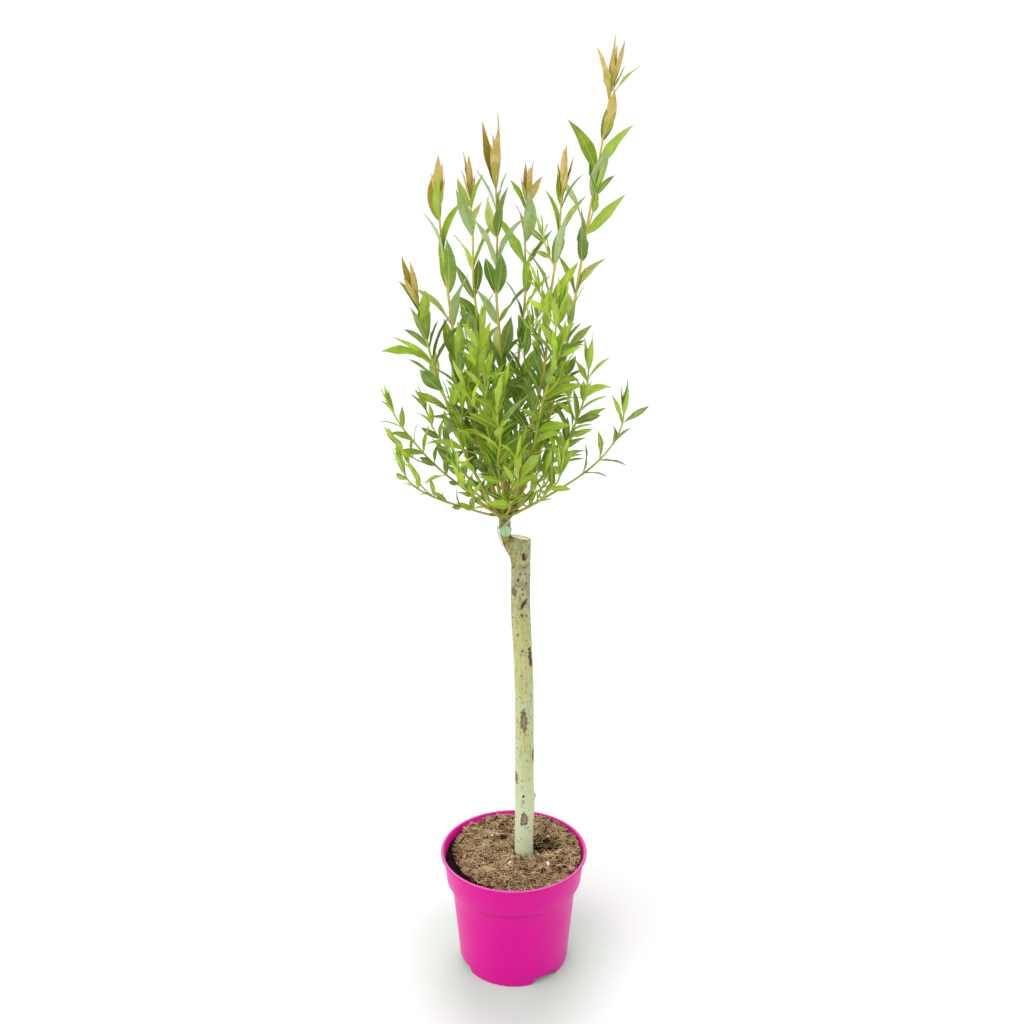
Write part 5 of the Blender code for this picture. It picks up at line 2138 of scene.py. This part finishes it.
@dataclass
class Tie:
    """The plain plant tie: a round clip, the band behind it, and two loose ends of strap."""

    height: float = 0.5680
    disc_radius: float = 0.0068
    disc_thick: float = 0.0020
    disc_right: float = 0.0011
    disc_down: float = 0.0006
    rounding: float = 0.0007
    dish: float = 0.0003
    band_radius: float = 0.0077
    band_thick: float = 0.0007
    band_height: float = 0.0030

    def clip(self) -> Shape:
        """The round clip, with a rounded edge and a shallow dish in its face.

        Returns:
            The clip's shape.
        """
        bm = bmesh.new()
        bmesh.ops.create_cone(bm, cap_ends=True, segments=40, radius1=self.disc_radius,
                              radius2=self.disc_radius, depth=self.disc_thick)
        rims = [edge for edge in bm.edges if abs(edge.verts[0].co.z - edge.verts[1].co.z) < 1e-6]
        bmesh.ops.bevel(bm, geom=rims, offset=self.rounding, offset_type="OFFSET", affect="EDGES",
                        segments=3, profile=0.5, material=-1)
        front = max(bm.faces, key=lambda face: face.calc_center_median().z)
        for inset in (0.0009, 0.0004):
            bmesh.ops.inset_region(bm, faces=[front], thickness=inset, depth=0.0)
        for vert in front.verts:
            vert.co.z -= self.dish
        spot = Matrix.Translation((KNUCKLE_CENTRE.x + self.disc_right,
                                   KNUCKLE_CENTRE.y - (self.band_radius + self.disc_thick / 2),
                                   self.height - self.disc_down))
        bm.transform(spot @ Matrix.Rotation(math.radians(90), 4, "X"))
        return bm

    def strap(self, points: list[Vector], wide: float, thick: float, facing: Vector) -> Shape:
        """A flat strap along a line.

        Args:
            points: The strap's centre line.
            wide: Its width.
            thick: Its thickness.
            facing: The direction that its flat side faces.

        Returns:
            The strap's shape.
        """
        bm = bmesh.new()
        path = Path(points)
        start, tangent = path.at(0.0)
        across = tangent.cross(facing).normalized()
        verts = [bm.verts.new(start + across * wide * a / 2 + facing * thick * b / 2)
                 for a, b in ((-1, -1), (1, -1), (1, 1), (-1, 1))]
        face = bm.faces.new(verts)
        for number, distance in enumerate(path.lengths[1:]):
            point, tangent = path.at(distance)
            across = tangent.cross(facing).normalized()
            made = bmesh.ops.extrude_face_region(bm, geom=[face])["geom"]
            if number:
                bmesh.ops.delete(bm, geom=[face], context="FACES")
            face = next(part for part in made if isinstance(part, bmesh.types.BMFace))
            for vert in face.verts:
                offset = vert.co - start
                side = 1 if offset.dot(across) > 0 else -1
                lift = 1 if offset.dot(facing) > 0 else -1
                vert.co = point + across * side * wide / 2 + facing * lift * thick / 2
            start = point
        bmesh.ops.recalc_face_normals(bm, faces=bm.faces[:])
        return bm

    def band(self) -> Shape:
        """The band round the stub.

        Returns:
            The band's shape.
        """
        half = self.band_height / 2
        outer = self.band_radius + self.band_thick
        corners = [(self.band_radius, -half), (outer, -half), (outer, half), (self.band_radius, half)]
        bm = spun(corners, 48, hoop=True)
        bm.transform(Matrix.Translation((KNUCKLE_CENTRE.x, KNUCKLE_CENTRE.y, self.height)))
        return bm

    def build(self) -> None:
        """Makes the clip, the band and the strap ends."""
        mint = SoftPlastic("tie_mint", paint(142, 180, 134), paint(164, 196, 154)).build()
        film = SoftPlastic("tie_film", paint(186, 186, 180), paint(216, 216, 210), 0.3).build()
        left = Vector((KNUCKLE_CENTRE.x - self.band_radius, KNUCKLE_CENTRE.y - 0.0026, self.height))
        tail = [left + Vector(step) for step in (
            (-0.0008, 0, 0.0050), (-0.0006, -0.0003, 0), (0.0006, -0.0007, -0.0070),
            (0.0030, -0.0012, -0.0150), (0.0050, -0.0016, -0.0200))]
        front = Vector((KNUCKLE_CENTRE.x, KNUCKLE_CENTRE.y - self.band_radius, self.height))
        end = [front + Vector(step) for step in (
            (-0.0030, -0.0004, 0.0035), (0.0015, 0.0002, 0.0075), (0.0062, 0.0012, 0.0130))]
        tail_face, end_face = (Vector(way).normalized() for way in ((-0.5, -0.86, 0), (0, -1, 0.1)))
        seat(make_piece("tie_disc", self.clip(), [mint]), ["tie_clip"])
        for name, shape in (("tie_band", self.band()),
                            ("tie_tail", self.strap(tail, 0.0030, 0.0005, tail_face)),
                            ("tie_end", self.strap(end, 0.0016, 0.0006, end_face))):
            seat(make_piece(name, shape, [film]))


@dataclass
class BladeShape:
    """How one leaf's blade is folded, twisted, waved and bent."""

    fold: float
    twist: float
    wave: float
    waves: float
    phase: float
    sickle: float
    hook: float
    bulge: float
    slender: float

    @classmethod
    def of(cls, leaf: Leaf) -> "BladeShape":
        """The shape of a leaf, by chances of its own.

        Args:
            leaf: The leaf.

        Returns:
            The shape of its blade.
        """
        chance = random.Random(leaf.mark + " shape")
        young = leaf.age is Age.TIP
        return cls(
            fold=chance.uniform(0.15, 0.5) if young else chance.uniform(0.08, 0.5),
            twist=chance.gauss(0, 0.2 if young else 0.5),
            wave=chance.uniform(0.0, 0.26),
            waves=chance.uniform(1.2, 2.6),
            phase=chance.uniform(0, math.tau),
            sickle=chance.gauss(0, 0.05 if young else 0.12),
            hook=chance.uniform(-0.05, 0.01) if young else chance.uniform(-0.02, 0.13),
            bulge=chance.uniform(0.025, 0.050) if young else 0.0,
            slender=chance.uniform(1.02, 1.32) if young else chance.uniform(0.88, 1.14),
        )


class Blades:
    """The narrow leaf blade, made once and shaped for each leaf."""

    COLUMNS = (-1.0, -0.55, -0.14, 0.14, 0.55, 1.0)
    ROWS = (0.0, 0.04, 0.10, 0.19, 0.30, 0.42, 0.55, 0.68, 0.80, 0.91, 1.0)
    STALK_END = 0.045
    STALK_HALF = 0.00055
    RIB_HALF = 0.00050
    RIB_COLUMN = 0.2
    THICK = 0.00028
    RIB_BULGE = 0.00030
    OUTLINE_PEAK = 0.82
    OUTLINE_ROOT = 0.78
    OUTLINE_TIP = 0.26

    def __init__(self) -> None:
        """Makes the flat blade: x is the share across, y the share along, z +1 above and -1 below."""
        bm = bmesh.new()
        wide, long = len(self.COLUMNS) - 1, len(self.ROWS) - 1
        bmesh.ops.create_grid(bm, x_segments=wide, y_segments=long, size=1)
        for vert in bm.verts:
            vert.co.x = self.COLUMNS[round((vert.co.x + 1) / 2 * wide)]
            vert.co.y = self.ROWS[round((vert.co.y + 1) / 2 * long)]
        for face in bm.faces:
            face.material_index = 1 if abs(face.calc_center_median().x) < self.RIB_COLUMN else 0
        upper = bm.faces[:]
        made = bmesh.ops.duplicate(bm, geom=bm.verts[:] + bm.edges[:] + upper)["geom"]
        lower = [part for part in made if isinstance(part, bmesh.types.BMFace)]
        bmesh.ops.reverse_faces(bm, faces=lower)
        for side, faces in ((1, upper), (-1, lower)):
            for vert in {vert for face in faces for vert in face.verts}:
                on_rim = abs(vert.co.x) > 0.99 or vert.co.y in (0.0, 1.0)
                vert.co.z = 0 if on_rim else side
        for face in lower:
            face.material_index += 2
        spare = [edge for edge in bm.edges
                 if all(vert.co.z < 0 and 0.5 < abs(vert.co.x) < 0.6 for vert in edge.verts)]
        bmesh.ops.dissolve_edges(bm, edges=spare, use_verts=False)
        bmesh.ops.remove_doubles(bm, verts=bm.verts[:], dist=1e-5)
        tip = [vert for vert in bm.verts if vert.co.y > 0.999]
        bmesh.ops.pointmerge(bm, verts=tip, merge_co=(0, 1, 0))
        self.template = Template(bm)

    def outline(self, along: np.ndarray) -> np.ndarray:
        """The half width at shares along, as a share of the widest.

        Args:
            along: The shares along.

        Returns:
            The half widths.
        """
        blade = np.clip((along - self.STALK_END) / (1 - self.STALK_END), 0, 1)
        power = self.OUTLINE_ROOT + self.OUTLINE_TIP * blade
        return np.abs(np.sin(math.pi * blade ** self.OUTLINE_PEAK)) ** power

    def spread(self, leaf: Leaf) -> np.ndarray:
        """The places of a leaf's points.

        Args:
            leaf: The leaf.

        Returns:
            The places, one row for each of the template's points.
        """
        shape = BladeShape.of(leaf)
        x, along, side = self.template.points.T
        widest = leaf.width / 2 * shape.slender
        half = np.maximum(widest * self.outline(along), self.STALK_HALF * (1 - along))
        rib = np.minimum(self.RIB_HALF * (1 - 0.7 * along), half * 0.5)
        on_rib = np.abs(x) < self.RIB_COLUMN
        out = np.where(on_rib, np.sign(x) * rib, x * half)
        lift = np.abs(out) * math.tan(shape.fold)
        ripple = np.sin(shape.phase + math.tau * shape.waves * along) * np.sin(math.pi * along)
        lift += shape.wave * half * ripple * np.abs(x) ** 2 * np.sign(x)
        lift += side * self.THICK / 2 - np.where((side < 0) & on_rib, self.RIB_BULGE, 0.0)
        turn = shape.twist * (along - 0.3) * 1.4
        out, lift = out * np.cos(turn) - lift * np.sin(turn), out * np.sin(turn) + lift * np.cos(turn)
        bow = (leaf.arch - shape.bulge) * 4 * along * (1 - along) - shape.hook * along ** 3
        lift += leaf.length * bow
        out += leaf.length * shape.sickle * (along ** 2 - along)
        across = leaf.along.cross(leaf.face)
        return (np.array(leaf.root) + np.outer(along * leaf.length, leaf.along)
                + np.outer(out, across) + np.outer(lift, leaf.face))


class Foliage:
    """Every shoot of the head: boughs, stems, twigs and leaves, grown by one rule."""

    FINE_START = 0.012
    FINE_STOP = 0.8
    FINE_SHARE = 0.32
    FINE_LEAF = (0.034, 0.054)
    FINE_TWIG = (0.024, 0.048)
    FINE_STEP = (0.010, 0.020)
    FINE_REACH = (0.040, 0.50)
    FINE_TOP = 0.790
    FINE_SPACING = 0.012
    FINE_SPREAD = 44.0
    BUD_LEAVES = 3
    BUD_DOWN = 0.001
    TIP_FOOT = paint(156, 158, 58)
    SMALL_BELOW = 0.626
    SMALL_SHARE = 0.72
    NODE_SWELL = 0.28
    NODE_REACH = 0.0014
    LEAF_SIDES = {Tint: (0.42, 0.3), Under: (0.62, 0.35), Rib: (0.5, 0.0)}

    def __init__(self) -> None:
        """Starts the blades, the finishes and the shoots' centre lines."""
        self.blades = Blades()
        self.space = Space()
        self.finishes: dict[Enum, Material] = {}
        self.tube = unit_tube(8, 40)
        self.twig_tube = unit_tube(6, 10)
        self.shoots = [(shoot, stem_path(shoot, direction))
                       for shoot, direction in zip(SHOOTS, foot_directions())]
        self.ochre = ShootBark("ochre_shoots", paint(178, 160, 50), paint(208, 184, 88)).build()
        self.green = ShootBark("green_shoots", paint(166, 158, 50), paint(184, 188, 74), 0.60, 0.72).build()
        self.leaves: dict[str, list[Leaf]] = {}
        self.stems: dict[str, list[Stem]] = {}

    def finish_of(self, kind: Enum) -> Material:
        """The material of one tint, under side or rib, made once.

        Args:
            kind: The tint, under side or rib.

        Returns:
            The material.
        """
        if kind not in self.finishes:
            roughness, veins = self.LEAF_SIDES[type(kind)]
            name = f"leaf_{type(kind).__name__}_{kind.name}".lower()
            first, second = kind.value
            foot = self.TIP_FOOT if kind in (Tint.TAN, Tint.ORANGE, Tint.OCHRE, Under.TAN) else first
            self.finishes[kind] = LeafFinish(name, first, second, foot, roughness, veins).build()
        return self.finishes[kind]

    def tint_of(self, habit: Habit, leaf: Leaf) -> Tint:
        """The tint that a leaf is dealt by its shoot's habit and its age.

        Args:
            habit: The shoot's habit.
            leaf: The leaf.

        Returns:
            The tint.
        """
        if " stem " not in leaf.mark and " bud " not in leaf.mark and habit is not Habit.BRIGHT:
            habit = Habit.GREEN
        tints, weights = zip(*DEALS[habit][leaf.age.value])
        return random.Random(leaf.mark + " tint").choices(tints, weights)[0]

    def reserve(self) -> None:
        """Keeps the room of every bough and stem before any leaf is placed."""
        boughs = [(shoot.bough, shoot, path, 0.0, shoot.bare, max(2, round(shoot.bare / BOUGH_STEP)),
                   BOUGH_SIDES_ROOM, BOUGH_SIDES) for shoot, path in self.shoots if shoot.has_bough]
        stems = [(shoot.mass, shoot, path, shoot.start, path.length, STEM_RESERVE, THREE_SIDED, 5)
                 for shoot, path in self.shoots]
        for owner, shoot, path, low, high, steps, room, sides in boughs + stems:
            distances = [low + (high - low) * step / steps for step in range(steps + 1)]
            radii = [stem_radius(distance / path.length, shoot.girth, STEM_TIP_RADIUS) * room
                     for distance in distances]
            limb = clearance_limb([path.at(distance) for distance in distances], radii, sides)
            self.space.add_limb(owner, limb)
            limb.free()

    def grow_mass(self, shoot: Shoot, path: Path) -> None:
        """Grows a shoot's leaves and side twigs.

        Args:
            shoot: The shoot.
            path: Its centre line.
        """
        leafy = path.length - max(shoot.start, shoot.bare) - LEAFLESS_FOOT
        dress = Dress(shoot.leaf, shoot.spacing, shoot.spread, shoot.bearing, shoot.tips, shoot.tip_leaf)
        leaves, nodes = clothe(self.space, shoot.mass, "stem", path, leafy, dress)
        self.stems[shoot.name] = [Stem(path, shoot.girth, STEM_TIP_RADIUS, nodes)]
        self.leaves[shoot.name] = leaves
        self.grow_twigs(shoot, path, nodes)

    def grow_twigs(self, shoot: Shoot, path: Path, nodes: list[float]) -> None:
        """Side twigs from every third node of a shoot, kept within its reach and off what stands.

        Args:
            shoot: The shoot.
            path: Its centre line.
            nodes: How far along it its leaves sit.
        """
        chance = random.Random(shoot.mass + " twigs")
        widest = Vector(shoot.end).xy.length
        for index, distance in enumerate(nodes[-3 * shoot.twigs::3][:shoot.twigs]):
            length = chance.uniform(*TWIG_LENGTHS)
            around = shoot.bearing + chance.uniform(0, 360)
            twig = side_twig(path, distance, around, length)
            if twig.points[-1].xy.length < widest:
                dress = Dress(TWIG_LEAF, TWIG_SPACING, TWIG_SPREAD, around + 60, 3, TWIG_TIP_LEAF)
                self.add_twig(shoot, f"twig {index}", twig, dress)

    def add_twig(self, shoot: Shoot, name: str, twig: Path, dress: Dress) -> None:
        """Adds a twig with its leaves, where its stem is clear.

        Args:
            shoot: The shoot that it grows on.
            name: The twig's own name.
            twig: Its centre line.
            dress: Its leaves' sizes.
        """
        body = clearance_limb([twig.at(twig.length * step / 3) for step in range(1, 4)], [TWIG_RADIUS] * 3, 4)
        if self.space.limb_fits(shoot.mass, body):
            self.space.add_limb(shoot.mass, body)
            leaves, knots = clothe(self.space, shoot.mass, name, twig, twig.length - TWIG_BARE, dress)
            self.leaves[shoot.name] += leaves
            self.stems[shoot.name].append(Stem(twig, TWIG_RADIUS, STEM_TIP_RADIUS * 0.7, knots))
        body.free()

    def in_heart(self, point: Vector) -> bool:
        """Whether a point lies in the dense heart of the head, which widens upwards.

        Args:
            point: The point.

        Returns:
            Whether it does.
        """
        least, widening = self.FINE_REACH
        reach = least + widening * (point.z - KNUCKLE_CENTRE.z)
        return point.z < self.FINE_TOP and (point.xy - KNUCKLE_CENTRE.xy).length < reach

    def grow_fine(self, shoot: Shoot, path: Path) -> None:
        """Finer twigs and smaller leaves on the lower stems, where the head is dense.

        Args:
            shoot: The shoot.
            path: Its centre line.
        """
        chance = random.Random(shoot.mass + " fine")
        distance = self.FINE_START
        number = 0
        while distance < path.length * self.FINE_STOP:
            distance += chance.uniform(*self.FINE_STEP)
            around = chance.uniform(0, 360)
            small = chance.uniform(*self.FINE_LEAF)
            number += 1
            if not self.in_heart(path.at(distance)[0]):
                continue
            if chance.random() < self.FINE_SHARE:
                twig = side_twig(path, distance, around, chance.uniform(*self.FINE_TWIG))
                if self.in_heart(twig.points[-1]):
                    dress = Dress(small, self.FINE_SPACING, self.FINE_SPREAD, around + 40, 2, small * 0.9)
                    self.add_twig(shoot, f"fine {number}", twig, dress)
                continue
            marks = [f"small {number} {side}" for side in (0, 1)]
            for side, mark in enumerate(marks):
                aim = Aim(distance, around + 170 * side, chance.uniform(30, 62), chance.uniform(-60, 60),
                          small * chance.uniform(0.8, 1.2), LEAF_WIDTH * 1.1, chance.uniform(0, 0.1))
                self.leaves[shoot.name] += try_leaf(self.space, shoot.mass, mark, marks, path, aim, Age.GROWN)

    def grow_buds(self, shoot: Shoot, path: Path) -> None:
        """The narrow folded leaves inside the bud at a shoot's tip.

        Args:
            shoot: The shoot.
            path: Its centre line.
        """
        chance = random.Random(shoot.mass + " bud")
        for number in range(self.BUD_LEAVES):
            around = shoot.bearing + 70 + 120 * number
            length = shoot.tip_leaf * chance.uniform(0.45, 0.8)
            aim = Aim(path.length - self.BUD_DOWN, around, chance.uniform(2, 6), chance.uniform(-30, 30),
                      length, TIP_LEAF_WIDTH * 0.75, 0.0)
            self.leaves[shoot.name].append(make_leaf(path, aim, f"{shoot.mass} bud {number}", Age.TIP))

    def add_stem(self, bundle: Bundle, tube: Template, shoot: Shoot, stem: Stem, low: float,
                 high: float) -> None:
        """Adds a stretch of a stem, swollen a little at each node, in its shoot's bark.

        Args:
            bundle: The piece that it is added to.
            tube: The tube that is bent.
            shoot: The shoot.
            stem: The stem or twig.
            low: Where the stretch starts.
            high: Where it ends.
        """
        def radius(distance: float) -> float:
            """The stem's radius at a distance from its foot.

            Args:
                distance: The distance.

            Returns:
                The radius.
            """
            share = min(1.0, max(0.0, distance / stem.path.length))
            near = min((abs(distance - node) for node in stem.nodes), default=1.0)
            swell = 1 + self.NODE_SWELL * bell(near / self.NODE_REACH)
            return stem_radius(share, stem.foot_girth, stem.tip_girth) * swell

        bark = self.ochre if shoot.zone is Zone.TALL else self.green
        bundle.add(tube, bend_tube(tube, stem.path, low, high, radius), [bark])

    def make_boughs(self) -> None:
        """The bare lower lengths of the larger shoots, one piece."""
        bundle = Bundle("bough_bark")
        shoots = [shoot for shoot in SHOOTS if shoot.has_bough]
        for shoot in shoots:
            self.add_stem(bundle, self.tube, shoot, self.stems[shoot.name][0], 0.0, shoot.bare)
        seat(bundle.piece(50), [shoot.bough for shoot in shoots])

    def make_stems(self) -> None:
        """The leafy stems and twigs of every mass, one piece."""
        bundle = Bundle("shoot_stems")
        for shoot in SHOOTS:
            main, *twigs = self.stems[shoot.name]
            self.add_stem(bundle, self.tube, shoot, main, shoot.start, main.path.length)
            for twig in twigs:
                self.add_stem(bundle, self.twig_tube, shoot, twig, 0.0, twig.path.length)
        seat(bundle.piece(50), [shoot.mass for shoot in SHOOTS])

    def make_leaves(self) -> None:
        """The leaves, one piece for each zone of the head."""
        for zone in Zone:
            bundle = Bundle("leaves_" + zone.value)
            shoots = [shoot for shoot in SHOOTS if shoot.zone is zone]
            for shoot in shoots:
                for leaf in self.leaves[shoot.name]:
                    tint = self.tint_of(shoot.habit, leaf)
                    if leaf.root.z < self.SMALL_BELOW:
                        leaf = replace(leaf, length=leaf.length * self.SMALL_SHARE,
                                       width=leaf.width * self.SMALL_SHARE)
                    under, rib = self.finish_of(UNDER_OF[tint]), self.finish_of(RIB_OF[tint])
                    bundle.add(self.blades.template, self.blades.spread(leaf),
                               [self.finish_of(tint), rib, under, rib])
            seat(bundle.piece(70), [shoot.mass for shoot in shoots])

    def build(self) -> None:
        """Grows the head and makes its pieces."""
        self.reserve()
        for shoot, path in self.shoots:
            self.grow_mass(shoot, path)
        log.info("%d leaves before the fine growth", sum(len(leaves) for leaves in self.leaves.values()))
        for shoot, path in self.shoots:
            self.grow_fine(shoot, path)
            self.grow_buds(shoot, path)
        log.info("%d leaves in all", sum(len(leaves) for leaves in self.leaves.values()))
        self.make_boughs()
        self.make_stems()
        self.make_leaves()


@dataclass(frozen=True)
class Lamp:
    """A soft round patch of light in the surround: whole within a core and gone past a reach, in degrees."""

    toward: tuple[float, float, float]
    core: float
    reach: float
    light: float


@dataclass
class Studio:
    """The pale floor with a painted shadow round the pot, the soft light all round and the camera."""

    camera_place: tuple[float, float, float] = (-0.0024, -1.0, 0.765)
    camera_tilt: float = 80.0
    lens: float = 29.6
    floor_half: float = 60.0
    near_light: float = 0.96
    far_light: float = 1.03
    high_light: float = 0.10
    lamps: tuple[Lamp, ...] = (
        Lamp((-0.50, -0.52, 0.70), 10, 42, 1.98),
        Lamp((0.60, -0.45, 0.66), 10, 44, 0.55),
        Lamp((0, 0.62, 0.78), 8, 30, 3.1),
        Lamp((-1, 0.1, 0.15), 10, 45, 0.88),
        Lamp((1, 0.1, 0.15), 10, 45, 0.56),
    )

    def floor(self) -> None:
        """A wide pale floor, with a painted shadow close round the pot: darker and greener there."""
        bm = bmesh.new()
        bmesh.ops.create_grid(bm, x_segments=4, y_segments=4, size=self.floor_half)
        recipe = Recipe("floor_paper")
        wide, deep, _ = recipe.axes(recipe.coordinates)
        away = (wide ** 2.0 + deep ** 2.0) ** 0.5
        recipe.colour = recipe.mix(recipe.noise(3, 2), paint(249, 253, 251), paint(251, 254, 252))
        # Painted shadow: the floor is darker and greener close round the pot
        recipe.coat(away.step(0.185, 0.070), paint(214, 242, 226))
        make_piece("floor", bm, [recipe.finish(0.9)])

    def surround(self) -> bpy.types.World:
        """A white surround: bright at eye level all round and dim overhead, with the lamps in it.

        Returns:
            The world.
        """
        world = bpy.data.worlds.new("studio")
        world.use_nodes = True
        nodes = Nodes(world.node_tree)
        direction = nodes.node("ShaderNodeTexCoord", {}, {}).outputs["Generated"]
        _, deep, high = nodes.axes(direction)
        rise = abs(high).step(0.36, 0.56)
        level = self.near_light + deep.step(-0.25, 0.30) * (self.far_light - self.near_light)
        strength = level * (1 - rise) + rise * self.high_light
        for lamp in self.lamps:
            axes = {0: direction, 1: Vector(lamp.toward).normalized()}
            dot = nodes.node("ShaderNodeVectorMath", {"operation": "DOT_PRODUCT"}, axes).outputs["Value"]
            edge, core = math.cos(math.radians(lamp.reach)), math.cos(math.radians(lamp.core))
            strength = strength + Value(nodes, dot).step(edge, core) * lamp.light
        white = nodes.node("ShaderNodeBackground", {}, {"Color": (1, 1, 1, 1), "Strength": strength})
        nodes.node("ShaderNodeOutputWorld", {}, {"Surface": white.outputs[0]})
        return world

    def camera(self) -> bpy.types.Object:
        """The camera in front of the plant, tilted down a little.

        Returns:
            The camera.
        """
        data = bpy.data.cameras.new("camera")
        data.lens = self.lens
        data.sensor_width = 36
        data.clip_end = 200
        camera = bpy.data.objects.new("camera", data)
        camera.location = self.camera_place
        camera.rotation_euler = (math.radians(self.camera_tilt), 0, 0)
        bpy.context.scene.collection.objects.link(camera)
        return camera

    def build(self) -> None:
        """Sets up the whole studio."""
        scene = bpy.context.scene
        scene.view_settings.view_transform = "Standard"
        scene.world = self.surround()
        self.floor()
        scene.camera = self.camera()


def write_sizes() -> None:
    """Updates the view layer."""
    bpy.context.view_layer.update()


def main() -> None:
    """Builds the whole plant on its frame."""
    logging.basicConfig(level=logging.INFO, format="%(name)s %(message)s")
    Studio().build()
    Pot().build()
    PottingMix().build()
    Trunk().build()
    foliage = Foliage()
    Head().build(foliage.shoots)
    Tie().build()
    foliage.build()
    write_sizes()


if __name__ == "__main__":
    main()
